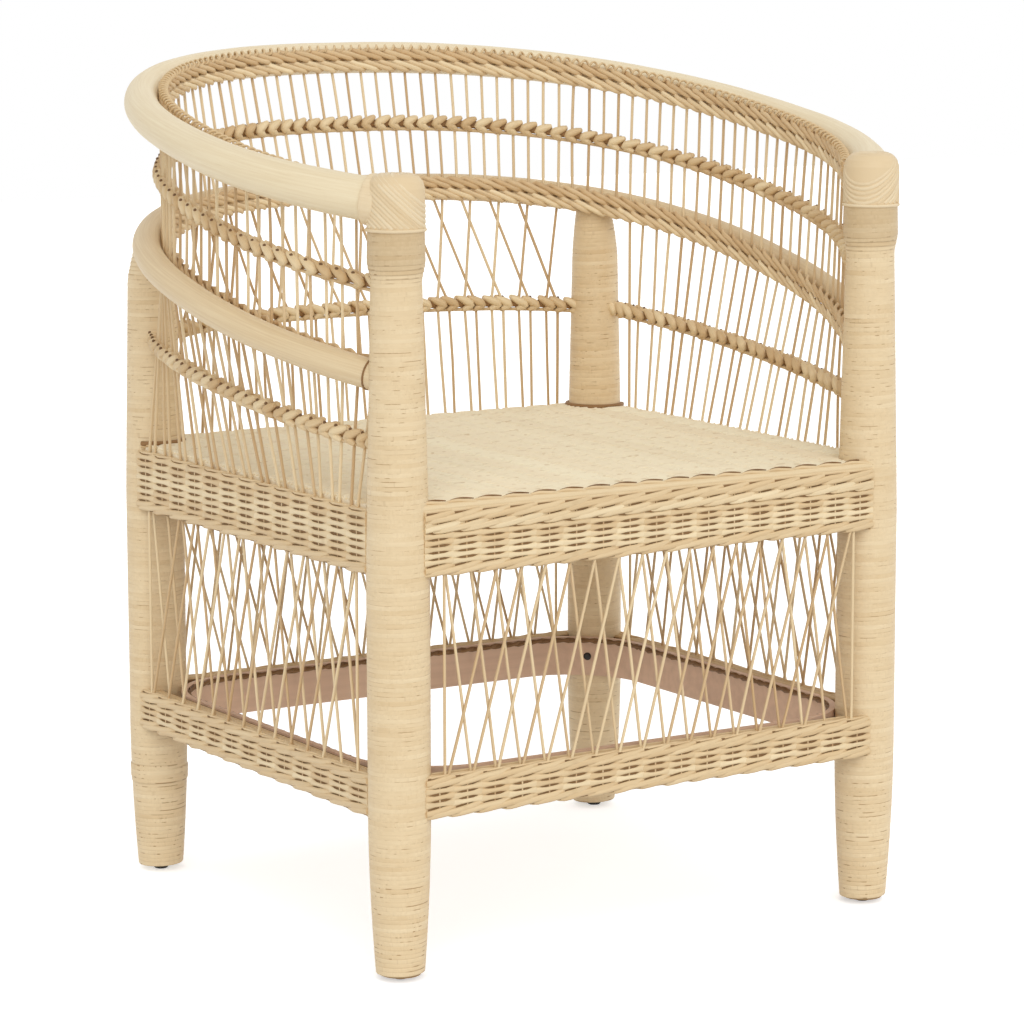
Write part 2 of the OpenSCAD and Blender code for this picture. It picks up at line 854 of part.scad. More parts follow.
// The place along the walls, counted in stakes, of a rope's ring.
function ring_place(k) =
    let (past = rope_past / mid_pitch)
    -past + (stake_count - 1 + 2 * past) * k / rope_rings;

// A point of a rope along a wall of stakes that lean from low to high, at a
// height h over a rail.
function rope_point(path, run, s, low, high, h) =
    let (p = along(path, run, s))
    let (n = inward(path, run, s))
    let (d = high - low)
    let (q = low + d * (p.z + h - low.z) / d.z)
    let (off = (q - p) * n + (rope_r + stake_r + lay) * leaning(d, path, run, s))
    p + n * off + [0, 0, h];

places = [for (k = [0:rope_rings]) ring_place(k)];

module rope(points) {
    color("wheat")
        tube(points, [for (p = points) rope_r], 6);
}

module top_braid() {
    for (k = [-1, 1])
        rope([for (i = places)
            rope_point(top_path, top_len, top_s(i), upper_foot(i, 0), top_point(i),
                k * (rope_r + lay / 2) - 2)]);
}

module mid_braid() {
    rope([for (i = places)
        rope_point(mid_path, mid_len, mid_s(i), upper_foot(i, 0), top_point(i),
            rope_r + lay / 2)]);
    rope([for (i = places)
        rope_point(mid_path, mid_len, mid_s(i), edge_line(i), mid_point(i, 0),
            -rope_r - lay / 2)]);
}

// A rope on each side of a row of stakes, half way up.
module knots(low, high) {
    n = len(low);
    middle = [for (i = [0:n - 1]) (low[i] + high[i]) / 2];
    line = concat([middle[0] - unit(middle[1] - middle[0]) * rope_past], middle,
        [middle[n - 1] + unit(middle[n - 1] - middle[n - 2]) * rope_past]);
    stands = [for (i = [0:n + 1])
        let (k = max(0, min(i - 1, n - 1)))
        unit(high[k] - low[k])];
    sides = [for (i = [0:n + 1])
        unit(cross(line[min(i + 1, n + 1)] - line[max(i - 1, 0)], stands[i]))];
    for (k = [-1, 1])
        tube([for (i = [0:n + 1]) line[i] + sides[i] * k * (stake_r + knot_r + lay)],
            [for (i = [0:n + 1]) knot_r], 8, stands, knot_h / knot_r / 2);
}

module upper_knots() {
    color("wheat")
        knots([for (i = [0:stake_count - 1]) upper_foot(i, 0)],
            [for (i = [0:stake_count - 1]) top_point(i)]);
}

module lower_knots(from, to) {
    color("wheat")
        knots([for (i = [from:to]) edge_point(i)],
            [for (i = [from:to]) mid_point(i, 0)]);
}

module lower_knots_left() { lower_knots(0, side_last); }
module lower_knots_back() { lower_knots(back_first, back_last); }
module lower_knots_right() { lower_knots(stake_count - 1 - side_last, stake_count - 1); }

post_front_left();
post_front_right();
post_rear_left();
post_rear_right();
binding_front_left();
binding_front_right();
binding_rear_left();
binding_rear_right();
foot_glides();
top_rail();
mid_rail();
rail_pins();
knuckle_left();
knuckle_right();
lower_hoop();
seat_hoop();
hoop_screws();
seat_slats();
seat_panel();
seat_border();
apron_front();
apron_left();
apron_right();
apron_back();
band_front();
band_left();
band_right();
band_back();
lattice_front();
lattice_left();
lattice_right();
lattice_back();
upper_stakes_left();
upper_stakes_back();
upper_stakes_right();
lower_stakes_left();
lower_stakes_back();
lower_stakes_right();
top_braid();
mid_braid();
upper_knots();
lower_knots_left();
lower_knots_back();
lower_knots_right();
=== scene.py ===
"""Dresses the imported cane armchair: wound posts, woven walls and seat, materials, light and camera."""
import math

import bpy
import numpy as np
from mathutils import Matrix, Vector


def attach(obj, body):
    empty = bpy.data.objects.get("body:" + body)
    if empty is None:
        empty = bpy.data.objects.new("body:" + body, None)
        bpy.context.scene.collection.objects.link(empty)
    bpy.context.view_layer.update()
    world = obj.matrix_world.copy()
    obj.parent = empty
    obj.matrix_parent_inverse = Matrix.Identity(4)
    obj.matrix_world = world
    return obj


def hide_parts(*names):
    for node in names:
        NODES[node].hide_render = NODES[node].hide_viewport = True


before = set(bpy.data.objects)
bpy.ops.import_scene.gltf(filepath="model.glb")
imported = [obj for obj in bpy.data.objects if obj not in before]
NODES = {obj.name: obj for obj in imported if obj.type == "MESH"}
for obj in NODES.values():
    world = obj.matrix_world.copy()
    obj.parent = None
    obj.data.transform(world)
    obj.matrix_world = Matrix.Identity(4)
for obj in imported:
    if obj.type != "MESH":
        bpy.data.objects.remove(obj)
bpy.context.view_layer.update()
rng = np.random.default_rng(7)

# Sizes of the chair, in metres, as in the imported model.
POST_SPAN, POST_DEPTH = 0.510, 0.469
CORE_R, WRAP_T, COLLAR_T = 0.0247, 0.0033, 0.0034
WRAP_R = CORE_R + WRAP_T
FOOT_SLIM, FOOT_H, TOP_SLIM, SLIM_Z = 0.0066, 0.150, 0.007, 0.380
TOP = dict(z=0.6859, rise=0.173, bulge=0.079, wide_at=0.2026, behind=0.1031, square=2.31, run=0.030)
MID = dict(z=0.5323, rise=0.229, bulge=0.0724, wide_at=0.2326, behind=0.0663, square=2.46, run=0.0)
TOP_R, TOP_SWELL, MID_R = 0.0157, 0.0041, 0.0135
SEAT_Z, SEAT_T, APRON_H = 0.423, 0.005, 0.055
BAND_Z, BAND_H = 0.147, 0.036
APRON_TOP = SEAT_Z - SEAT_T
APRON_Z = APRON_TOP - APRON_H
BAND_TOP = BAND_Z + BAND_H
STAKE_R, STAKES, FOOT_SHIFT, PAIR_DRAW = 0.00145, 90, 0.015, 0.0025
STRAND_R, FRONT_CELLS, SIDE_CELLS, STRAND_GAP = 0.0014, 17, 13, 0.0108
ROPE_R, KNOT_H = 0.0052, 0.015
LAY = 0.0001
BORDER_R, BOARD_BACK, HOOP_FIT, BAR_T = 0.004, 0.0035, 0.0002, 0.006
FACE = WRAP_R - BOARD_BACK
STRAND_AT = FACE - 2 * STRAND_R - LAY
X_POST = POST_SPAN / 2
CENTRE = (TOP["behind"] + TOP_R - WRAP_R) / 2
Y_FRONT = -POST_DEPTH / 2 - CENTRE
Y_REAR = POST_DEPTH / 2 - CENTRE
STAKE_FROM = WRAP_R + STAKE_R + 5 * LAY
COLLAR_TOP, COLLAR_H = TOP["z"] - TOP_R - TOP_SWELL - 0.0033, 0.036
COLLAR_Z = COLLAR_TOP - COLLAR_H
POSTS = [(x, y) for x in (-X_POST, X_POST) for y in (Y_FRONT, Y_REAR)]
UP = np.array([0.0, 0.0, 1.0])

# Sizes that only the visible cane has: half a binding strand's height, the pitch of its turns, the
# seat's rows, the distance at which their rods cross, and the height of a board's thicker rows.
BINDING_TALL, BINDING_PITCH = 0.0030, 0.0040
SEAT_ROW, SEAT_BEAT = 0.0066, 0.0284
EDGE_ROW = 0.0088

# How far along the cane's pattern strands of tone 0 and tone 1 start from each other.
TONE_SHIFT = 3.7


# Small tools for node trees

def fill(tree, node, values):
    """Fills a node's inputs with plain values or with other nodes' sockets."""
    for key, value in values.items():
        if isinstance(value, bpy.types.Node):
            value = value.outputs[0]
        if isinstance(value, bpy.types.NodeSocket):
            tree.links.new(value, node.inputs[key])
        else:
            node.inputs[key].default_value = value
    return node


def add(tree, kind, values=None, **settings):
    node = tree.nodes.new(kind)
    for key, value in settings.items():
        setattr(node, key, value)
    return fill(tree, node, values or {})


def calc(tree, operation, a, b=0.0, c=0.0):
    return add(tree, "ShaderNodeMath", {0: a, 1: b, 2: c}, operation=operation).outputs[0]


def times(tree, a, b):
    return calc(tree, "MULTIPLY", a, b)


def less(tree, a, b):
    return calc(tree, "SUBTRACT", a, b)


def vec(tree, operation, a, b=(0, 0, 0), scale=None):
    node = add(tree, "ShaderNodeVectorMath", {0: a, 1: b}, operation=operation)
    if scale is not None:
        fill(tree, node, {"Scale": scale})
    return node.outputs[0]


def attribute(tree, name, kind="FLOAT"):
    return add(tree, "GeometryNodeInputNamedAttribute", {"Name": name}, data_type=kind).outputs[0]


def geometry_tree(name, inputs):
    """A new geometry tree with a mesh in, a mesh out and named inputs."""
    tree = bpy.data.node_groups.new(name, "GeometryNodeTree")
    tree.interface.new_socket(name="Paths", in_out="INPUT", socket_type="NodeSocketGeometry")
    for label, (kind, value) in inputs.items():
        socket = tree.interface.new_socket(name=label, in_out="INPUT", socket_type=kind)
        if value is not None:
            socket.default_value = value
    tree.interface.new_socket(name="Mesh", in_out="OUTPUT", socket_type="NodeSocketGeometry")
    return tree, tree.nodes.new("NodeGroupInput"), tree.nodes.new("NodeGroupOutput")


REAL, WHOLE, MATERIAL = "NodeSocketFloat", "NodeSocketInt", "NodeSocketMaterial"


def skin(tree, curve, g, out, tone, thick=1.0):
    """Gives curves a closed round or flat section and straightened coordinates, and ends the tree."""
    run = add(tree, "GeometryNodeSplineParameter").outputs["Length"]
    keep = add(tree, "GeometryNodeCaptureAttribute", {"Geometry": curve}, domain="POINT")
    keep.capture_items.new("FLOAT", "run")
    keep.capture_items.new("FLOAT", "tone")
    fill(tree, keep, {"run": run, "tone": tone})
    circle = add(tree, "GeometryNodeCurvePrimitiveCircle", {"Resolution": g["Sides"], "Radius": 1.0})
    flat = add(tree, "GeometryNodeTransform", {
        "Geometry": circle,
        "Scale": add(tree, "ShaderNodeCombineXYZ", {"X": g["Across"], "Y": g["Tall"], "Z": 1.0})})
    side = add(tree, "GeometryNodeCaptureAttribute", {"Geometry": flat}, domain="POINT")
    side.capture_items.new("VECTOR", "side")
    fill(tree, side, {"side": add(tree, "GeometryNodeInputPosition")})
    body = add(tree, "GeometryNodeCurveToMesh", {
        "Curve": keep.outputs["Geometry"], "Profile Curve": side.outputs["Geometry"], "Scale": thick,
        "Fill Caps": True})
    split = add(tree, "ShaderNodeSeparateXYZ", {"Vector": side.outputs["side"]})
    rest = add(tree, "ShaderNodeCombineXYZ", {
        "X": calc(tree, "MULTIPLY_ADD", keep.outputs["tone"], TONE_SHIFT, keep.outputs["run"]),
        "Y": split.outputs["X"], "Z": split.outputs["Y"]})
    named = add(tree, "GeometryNodeStoreNamedAttribute", {
        "Geometry": body, "Name": "rest", "Value": rest.outputs[0]}, data_type="FLOAT_VECTOR", domain="POINT")
    toned = add(tree, "GeometryNodeStoreNamedAttribute", {
        "Geometry": named, "Name": "tone", "Value": keep.outputs["tone"]}, data_type="FLOAT", domain="POINT")
    smooth = add(tree, "GeometryNodeSetShadeSmooth", {"Geometry": toned})
    real = add(tree, "GeometryNodeRealizeInstances", {"Geometry": smooth})
    end = add(tree, "GeometryNodeSetMaterial", {"Geometry": real, "Material": g["Material"]})
    fill(tree, out, {"Mesh": end})


def cane_tree(name, mode):
    """Plain strands: every path becomes a rod whose radius is the path's own 'thick'."""
    tree, given, out = geometry_tree(name, {
        "Sides": (WHOLE, 8), "Across": (REAL, 1.0), "Tall": (REAL, 1.0), "Material": (MATERIAL, None)})
    curve = add(tree, "GeometryNodeMeshToCurve", {"Mesh": given.outputs["Paths"]})
    turned = add(tree, "GeometryNodeSetCurveNormal", {"Curve": curve}, mode=mode)
    skin(tree, turned, given.outputs, out, attribute(tree, "tone"), attribute(tree, "thick"))
    return tree


def waling_tree():
    """Rows of rods that pass in front of all stakes but one, go behind it and come up again, like a rope."""
    tree, given, out = geometry_tree("waling", {
        "Rods": (WHOLE, 3), "Rows": (WHOLE, 2), "Row height": (REAL, 0.011), "Fall": (REAL, 0.006),
        "Front": (REAL, 0.0035), "Back": (REAL, 0.0035), "Across": (REAL, 0.0018), "Tall": (REAL, 0.0024),
        "Step": (REAL, 0.0035), "Sides": (WHOLE, 7), "Seed": (WHOLE, 1), "Shift": (REAL, 0.37),
        "Sharp": (REAL, 1.7), "Swell": (REAL, 0.0), "Apart": (REAL, 17.3), "Wander": (REAL, 0.9),
        "Loose": (REAL, 0.7), "Material": (MATERIAL, None)})
    g = given.outputs
    curve = add(tree, "GeometryNodeMeshToCurve", {"Mesh": g["Paths"]})
    even = add(tree, "GeometryNodeResampleCurve", {"Curve": curve, "Length": g["Step"]}, mode="LENGTH")
    many = add(tree, "GeometryNodeDuplicateElements", {
        "Geometry": even, "Amount": times(tree, g["Rods"], g["Rows"])}, domain="SPLINE")
    index = many.outputs["Duplicate Index"]
    row = calc(tree, "FLOOR", calc(tree, "DIVIDE", index, g["Rods"]))
    rod = less(tree, index, times(tree, row, g["Rods"]))
    beat = calc(tree, "ADD", attribute(tree, "beat"), times(tree, row, g["Shift"]))
    phase = calc(tree, "FRACT", calc(tree, "DIVIDE", calc(tree, "ADD", beat, rod), g["Rods"]))
    share = less(tree, 1.0, calc(tree, "DIVIDE", 1.0, g["Rods"]))
    turn = calc(tree, "COSINE", times(tree, less(tree, phase, times(tree, share, 0.5)), 2 * math.pi))
    edge = calc(tree, "COSINE", times(tree, share, math.pi))
    lean = times(tree, less(tree, turn, edge), g["Sharp"])
    held = calc(tree, "MAXIMUM", calc(tree, "MINIMUM", lean, 1.0), -1.0)
    depth = calc(tree, "MAXIMUM", times(tree, held, g["Front"]), times(tree, g["Back"], -1.0))
    down = less(tree, 0.5, calc(tree, "DIVIDE", phase, share))
    back = calc(tree, "ADD", times(tree, less(tree, phase, share), g["Rods"]), -0.5)
    fall = times(tree, calc(tree, "MAXIMUM", down, back), g["Fall"])
    middle = times(tree, less(tree, g["Rows"], 1.0), 0.5)
    high = times(tree, less(tree, middle, row), g["Row height"])
    noise = add(tree, "ShaderNodeTexNoise", {
        "W": calc(tree, "MULTIPLY_ADD", index, g["Apart"], times(tree, beat, g["Wander"])),
        "Scale": 1.0}, noise_dimensions="1D").outputs[0]
    loose = times(tree, less(tree, noise, 0.5), times(tree, g["Tall"], g["Loose"]))
    lift = calc(tree, "ADD", calc(tree, "ADD", fall, high), loose)
    offset = vec(tree, "ADD",
                 vec(tree, "SCALE", attribute(tree, "face", "FLOAT_VECTOR"), scale=depth),
                 vec(tree, "SCALE", attribute(tree, "stand", "FLOAT_VECTOR"), scale=lift))
    laid = add(tree, "GeometryNodeSetPosition", {"Geometry": many.outputs["Geometry"], "Offset": offset})
    upright = add(tree, "GeometryNodeSetCurveNormal", {"Curve": laid}, mode="Z_UP")
    tone = add(tree, "FunctionNodeRandomValue", {"ID": index, "Seed": g["Seed"]}, data_type="FLOAT")
    slack = less(tree, 1.0, calc(tree, "ABSOLUTE", held))
    thick = calc(tree, "MULTIPLY_ADD", slack, g["Swell"], 1.0)
    skin(tree, upright, g, out, tone.outputs[1], thick)
    return tree


def winding_tree():
    """One strand wound round a straight axis whose points carry the radius 'thick'."""
    tree, given, out = geometry_tree("winding", {
        "Turns": (REAL, 100.0), "Round": (WHOLE, 26), "Across": (REAL, 0.0008), "Tall": (REAL, 0.0014),
        "Seed": (REAL, 0.0), "Wander": (REAL, 0.23), "Uneven": (REAL, 0.55), "Slip": (REAL, 0.6),
        "Sides": (WHOLE, 12), "Material": (MATERIAL, None)})
    g = given.outputs
    curve = add(tree, "GeometryNodeMeshToCurve", {"Mesh": g["Paths"]})
    even = add(tree, "GeometryNodeResampleCurve", {
        "Curve": curve, "Count": times(tree, g["Turns"], g["Round"])}, mode="COUNT")
    share = add(tree, "GeometryNodeSplineParameter").outputs["Factor"]
    angle = times(tree, times(tree, share, g["Turns"]), 2 * math.pi)
    wobble = add(tree, "ShaderNodeTexNoise", {
        "W": calc(tree, "ADD", times(tree, angle, g["Wander"]), g["Seed"]), "Scale": 1.0, "Detail": 2.0},
        noise_dimensions="1D").outputs[0]
    loose = less(tree, wobble, 0.5)
    radius = calc(tree, "ADD", less(tree, attribute(tree, "thick"), g["Across"]),
                  times(tree, loose, times(tree, g["Across"], g["Uneven"])))
    ring = add(tree, "ShaderNodeCombineXYZ", {
        "X": times(tree, calc(tree, "COSINE", angle), radius),
        "Y": times(tree, calc(tree, "SINE", angle), radius),
        "Z": times(tree, loose, times(tree, g["Tall"], g["Slip"]))})
    wound = add(tree, "GeometryNodeSetPosition", {"Geometry": even, "Offset": ring})
    upright = add(tree, "GeometryNodeSetCurveNormal", {"Curve": wound}, mode="Z_UP")
    skin(tree, upright, g, out, wobble)
    return tree


# Small tools for objects and meshes

def placed(name, data):
    """A new object in the scene."""
    thing = bpy.data.objects.new(name, data)
    bpy.context.scene.collection.objects.link(thing)
    return thing


def shader_tree(owner):
    """The emptied node tree of a material or world."""
    owner.use_nodes = True
    owner.node_tree.nodes.clear()
    return owner.node_tree


def paths_mesh(name, paths):
    """A mesh of loose lines. Each path is (points, {attribute: one value, or one for each point})."""
    mesh = bpy.data.meshes.new(name)
    points, edges, columns = [], [], {}
    for line, marks in paths:
        start = len(points)
        points.extend(np.asarray(line, float).tolist())
        edges.extend((start + i, start + i + 1) for i in range(len(line) - 1))
        for key, value in marks.items():
            shape = (len(line), 3) if key in ("face", "stand") else (len(line),)
            columns.setdefault(key, []).append(np.broadcast_to(value, shape))
    mesh.from_pydata(points, edges, [])
    for key, parts in columns.items():
        data = np.concatenate(parts).astype(np.float32)
        kind, field = ("FLOAT_VECTOR", "vector") if data.ndim == 2 else ("FLOAT", "value")
        mesh.attributes.new(key, kind, "POINT").data.foreach_set(field, data.ravel())
    return mesh


def grown(name, tree, paths, place=None, **inputs):
    """Runs a tree over paths and returns the result as a plain mesh."""
    base = paths_mesh(name, paths)
    thing = placed(name + "_paths", base)
    modifier = thing.modifiers.new("tree", "NODES")
    modifier.node_group = tree
    names = {s.name: s.identifier for s in tree.interface.items_tree if s.in_out == "INPUT"}
    for key, value in inputs.items():
        modifier[names[key.replace("_", " ").capitalize()]] = value
    depsgraph = bpy.context.evaluated_depsgraph_get()
    mesh = bpy.data.meshes.new_from_object(thing.evaluated_get(depsgraph), depsgraph=depsgraph)
    bpy.data.objects.remove(thing)
    bpy.data.meshes.remove(base)
    if place is not None:
        mesh.transform(place)
    return mesh


def joined(name, meshes):
    """One mesh of several, each with its own materials."""
    things = [placed(f"{name}_{i}", mesh) for i, mesh in enumerate(meshes)]
    for thing in bpy.context.selected_objects:
        thing.select_set(False)
    for thing in things:
        thing.select_set(True)
    bpy.context.view_layer.objects.active = things[0]
    if len(things) > 1:
        bpy.ops.object.join()
    things[0].name = name
    things[0].data.name = name
    return things[0]


def piece(name, meshes, slot, *nodes):
    """A finished piece: joined, riding on the chair and standing for its CAD nodes."""
    thing = joined(name, meshes)
    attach(thing, "root")
    if nodes:
        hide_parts(*nodes)
    return thing


# Materials

def ramp(tree, value, stops):
    """Colours that follow a value between two stops."""
    node = add(tree, "ShaderNodeValToRGB", {"Fac": value})
    for element, (place, colour) in zip(node.color_ramp.elements, stops):
        element.position = place
        element.color = (*colour, 1.0)
    return node.outputs["Color"]


def rising(tree, value, low, high):
    """A share that rises from 0 to 1 while a value rises from low to high."""
    grey = ramp(tree, value, [(low, (0, 0, 0)), (high, (1, 1, 1))])
    return add(tree, "ShaderNodeRGBToBW", {"Color": grey}).outputs[0]


def mix(tree, kind, share, a, b):
    a, b = ((*colour, 1.0) if isinstance(colour, tuple) else colour for colour in (a, b))
    return add(tree, "ShaderNodeMix", {0: share, 6: a, 7: b}, data_type="RGBA", blend_type=kind).outputs[2]


def noise(tree, at, scale, detail=3.0, stretch=(1, 1, 1)):
    where = vec(tree, "MULTIPLY", at, stretch)
    return add(tree, "ShaderNodeTexNoise", {"Vector": where, "Scale": scale, "Detail": detail}).outputs[0]


def on_object(tree):
    return add(tree, "ShaderNodeTexCoord").outputs["Object"]


def axes(tree, at):
    return add(tree, "ShaderNodeSeparateXYZ", {"Vector": at}).outputs


SEAM_FROM, SEAM_SHARP, SEAM_EVERYWHERE = 0.55, 9.0, 0.05
COLLAR_TINT = (0.82, 0.79, 0.75)
STROKE_PITCH, STROKE_BEND = 0.030, 0.0040
STROKE_STRONG, STROKE_FAINT = 0.40, 0.14


def seam_shade_and_collar(tree, at, colour, stain_and_seam_shade, strength):
    """Painted shade on a wound strand's edges here and there, in the grooves where two turns meet, and a
    duller collar.
    """
    # Painted shade: the colour darkens towards a strand's edge, where it goes under the next turn.
    past = less(tree, calc(tree, "ABSOLUTE", axes(tree, at)["Z"]), SEAM_FROM * BINDING_TALL)
    edge = times(tree, calc(tree, "MAXIMUM", past, 0.0), SEAM_SHARP / BINDING_TALL)
    patch = rising(tree, noise(tree, at, 4.5, 2.0, (1, 0, 0)), 0.53, 0.62)
    share = times(tree, calc(tree, "MINIMUM", edge, 1.0),
                  calc(tree, "MULTIPLY_ADD", patch, strength, SEAM_EVERYWHERE))
    colour = mix(tree, "MIX", share, colour, stain_and_seam_shade)
    height = axes(tree, on_object(tree))["Z"]
    collar = ramp(tree, height, [(COLLAR_Z - 0.004, (1, 1, 1)), (COLLAR_Z + 0.008, COLLAR_TINT)])
    return mix(tree, "MULTIPLY", 1.0, colour, collar)


def strokes(tree, colour, stain_and_seam_shade):
    """Broken rows of short brown strokes, bent where the seat's rods cross."""
    place = on_object(tree)
    x, y = (axes(tree, place)[axis] for axis in "XY")
    bend = calc(tree, "SINE", times(tree, x, 2 * math.pi / SEAT_BEAT))
    bent = calc(tree, "MULTIPLY_ADD", bend, STROKE_BEND, y)
    wave = calc(tree, "COSINE", times(tree, bent, 2 * math.pi / STROKE_PITCH))
    patch = rising(tree, noise(tree, place, 40.0, 2.0, (0.8, 1.4, 1)), 0.52, 0.70)
    share = times(tree, rising(tree, wave, 0.92, 0.99),
                  calc(tree, "MULTIPLY_ADD", patch, STROKE_STRONG, STROKE_FAINT))
    return mix(tree, "MIX", share, colour, stain_and_seam_shade)


def cane(name, pale, dark, stain_and_seam_shade, rough=0.42, grain=1.0, follow=True, coat=0.0, spread=0.5, fine=0.55,
         seam_shade=0.0, stroked=False):
    """Cane or rattan: colour by strand and along it, fine fibres, stains, painted shade in a binding's
    grooves and a dull varnish.

    The pattern follows a grown strand, or else the object. Spread is how much of the shade goes by
    strand, fine is how much the fibres show, and a binding's share of painted shade sets how dark
    its grooves are where two turns meet.
    """
    material = bpy.data.materials.new(name)
    tree = shader_tree(material)
    if follow:
        at = add(tree, "ShaderNodeAttribute", attribute_name="rest").outputs["Vector"]
        tone = add(tree, "ShaderNodeAttribute", attribute_name="tone").outputs["Fac"]
    else:
        at = on_object(tree)
        tone = noise(tree, at, 9.0)
    broad = noise(tree, at, 14.0, 2.0, (1, 0.6, 0.6))
    fibre = noise(tree, at, 260.0 * grain, 4.0, (0.06, 1.6, 1.6))
    lump = noise(tree, at, 45.0, 2.0, (1, 0.5, 0.5))
    shade = calc(tree, "ADD", times(tree, tone, spread), times(tree, broad, 1.0 - spread))
    base = ramp(tree, shade, [(0.28, dark), (0.72, pale)])
    lines = ramp(tree, fibre, [(0.30, (0.80, 0.776, 0.736)), (0.62, (1, 1, 1))])
    colour = mix(tree, "MULTIPLY", fine, base, lines)
    stained = times(tree, rising(tree, lump, 0.60, 0.78), 0.35)
    colour = mix(tree, "MIX", stained, colour, stain_and_seam_shade)
    if seam_shade:
        colour = seam_shade_and_collar(tree, at, colour, stain_and_seam_shade, seam_shade)
    if stroked:
        colour = strokes(tree, colour, stain_and_seam_shade)
    bump = add(tree, "ShaderNodeBump", {"Strength": 0.25, "Distance": 0.0006, "Height": fibre})
    shader = add(tree, "ShaderNodeBsdfPrincipled", {
        "Base Color": colour, "Normal": bump.outputs[0], "Coat Weight": coat, "Coat Roughness": 0.35,
        "Roughness": calc(tree, "MULTIPLY_ADD", fibre, 0.15, rough), "Specular IOR Level": 0.35})
    add(tree, "ShaderNodeOutputMaterial", {0: shader})
    return material


RAIL = cane("peeled_pole", (0.88, 0.76, 0.53), (0.80, 0.66, 0.43), (0.66, 0.49, 0.28), grain=0.6, coat=0.1,
            spread=0.15, fine=0.3)
MIDDLE = cane("middle_pole", (0.80, 0.645, 0.41), (0.70, 0.53, 0.31), (0.60, 0.42, 0.22), grain=0.6, coat=0.1,
              spread=0.15, fine=0.3)
# The binding gets painted shade in the grooves where its turns meet.
BOUND = cane("post_binding", (0.84, 0.68, 0.44), (0.73, 0.55, 0.32), (0.36, 0.21, 0.09), spread=0.7, fine=0.3,
             seam_shade=0.75)
WRAPPED = cane("knuckle_cane", (0.85, 0.70, 0.47), (0.77, 0.60, 0.37), (0.46, 0.29, 0.14), fine=0.3)
STAKE = cane("stake_cane", (0.86, 0.69, 0.43), (0.60, 0.40, 0.20), (0.40, 0.24, 0.11), coat=0.1)
BRAID = cane("braid_cane", (0.88, 0.71, 0.45), (0.64, 0.44, 0.23), (0.34, 0.18, 0.07))
ROPE = cane("rope_cane", (0.86, 0.69, 0.43), (0.66, 0.46, 0.24), (0.42, 0.24, 0.10))
WEAVE = cane("weave_cane", (0.86, 0.70, 0.45), (0.72, 0.53, 0.30), (0.42, 0.24, 0.10))
# Dark brown cane, used also for painted shade: the knot bands' cores and holes and the row along the hoops'
# edge.
DARK_AND_SHADE = cane("dark_cane_and_painted_shade", (0.33, 0.18, 0.07), (0.17, 0.085, 0.032), (0.08, 0.04, 0.016), 0.5)
SEAT = cane("seat_cane", (0.98, 0.954, 0.745), (0.88, 0.76, 0.55), (0.52, 0.35, 0.18), 0.5, spread=0.6,
            fine=0.3, stroked=True)
# The post cores' dark brown is painted shade, seen in the cracks between binding turns.
SHADE_CORE = cane("painted_shade_core", (0.50, 0.33, 0.16), (0.36, 0.22, 0.10), (0.22, 0.12, 0.06), 0.6, follow=False)
BAR = cane("flat_bar", (0.80, 0.56, 0.40), (0.66, 0.45, 0.32), (0.45, 0.29, 0.20), 0.55, 0.3, follow=False)
WOOD = cane("inner_wood", (0.58, 0.42, 0.24), (0.45, 0.31, 0.17), (0.35, 0.22, 0.11), 0.6, 0.3, follow=False)
# The dark brown of the boards behind the woven rows is painted shade, seen in the gaps between the rows.
SHADE_BACKING = cane("painted_shade_backing", (0.34, 0.20, 0.085), (0.22, 0.12, 0.05), (0.12, 0.06, 0.025), 0.6,
               follow=False)
DARK = cane("dark_fitting", (0.03, 0.025, 0.02), (0.02, 0.017, 0.015), (0.015, 0.012, 0.01), 0.45,
            follow=False)

POLE_TREE, CANE_TREE = cane_tree("level_poles", "Z_UP"), cane_tree("cane_strands", "MINIMUM_TWIST")
WALING_TREE, WINDING_TREE = waling_tree(), winding_tree()


# Small tools for lines

def unit(v):
    return v / np.linalg.norm(v, axis=-1, keepdims=True)


def run_along(line):
    """How far each point of a line is from its start."""
    return np.r_[0, np.cumsum(np.linalg.norm(np.diff(line, axis=0), axis=1))]


def between(s, at, values):
    """Rows of values, known at the distances 'at', at the distances s."""
    return np.stack([np.interp(s, at, values[:, axis]) for axis in range(3)], -1)


def points(x, y, z):
    """A line of points, from one value or one for each point."""
    return np.stack(np.broadcast_arrays(x, y, z), 1)


def bowed(a, b, bow=(0, 0, 0), n=9):
    t = np.linspace(0, 1, n)[:, None]
    return a + (b - a) * t + np.asarray(bow) * np.sin(math.pi * t)


def path(line, thick, tone):
    return line, {"thick": thick, "tone": tone}


def strand(line, thick):
    """A thin cane along points, with its own thickness and tone."""
    uneven = 1 + 0.08 * (rng.random() - 0.5)
    return path(line, thick * uneven, rng.random())


# Paths of the rails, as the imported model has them

def rail_path(z, rise, bulge, wide_at, behind, square, run):
    wide, y_wide, y_back = X_POST + bulge, Y_FRONT + wide_at, Y_REAR + behind
    t = np.linspace(0, math.pi / 2, 161)
    x, y = (wave(t) ** (2 / square) for wave in (np.sin, np.cos))
    back = np.stack([wide * x, y_wide + (y_back - y_wide) * y], 1)
    turn = 2 * math.atan2(bulge, wide_at + run)
    radius = (bulge / math.sin(turn) - run) / math.tan(turn / 2)
    u = np.linspace(0, turn, 41)[1:]
    arm = np.stack([wide - radius + radius * np.cos(u), y_wide - radius * np.sin(u)], 1)
    half = np.vstack([back, arm] + ([[X_POST, Y_FRONT]] if run else []))
    half = np.column_stack([half, z + rise * (half[:, 1] - Y_FRONT)])
    mirrored = half[:0:-1] * [-1, 1, 1]
    return np.vstack([mirrored, half])


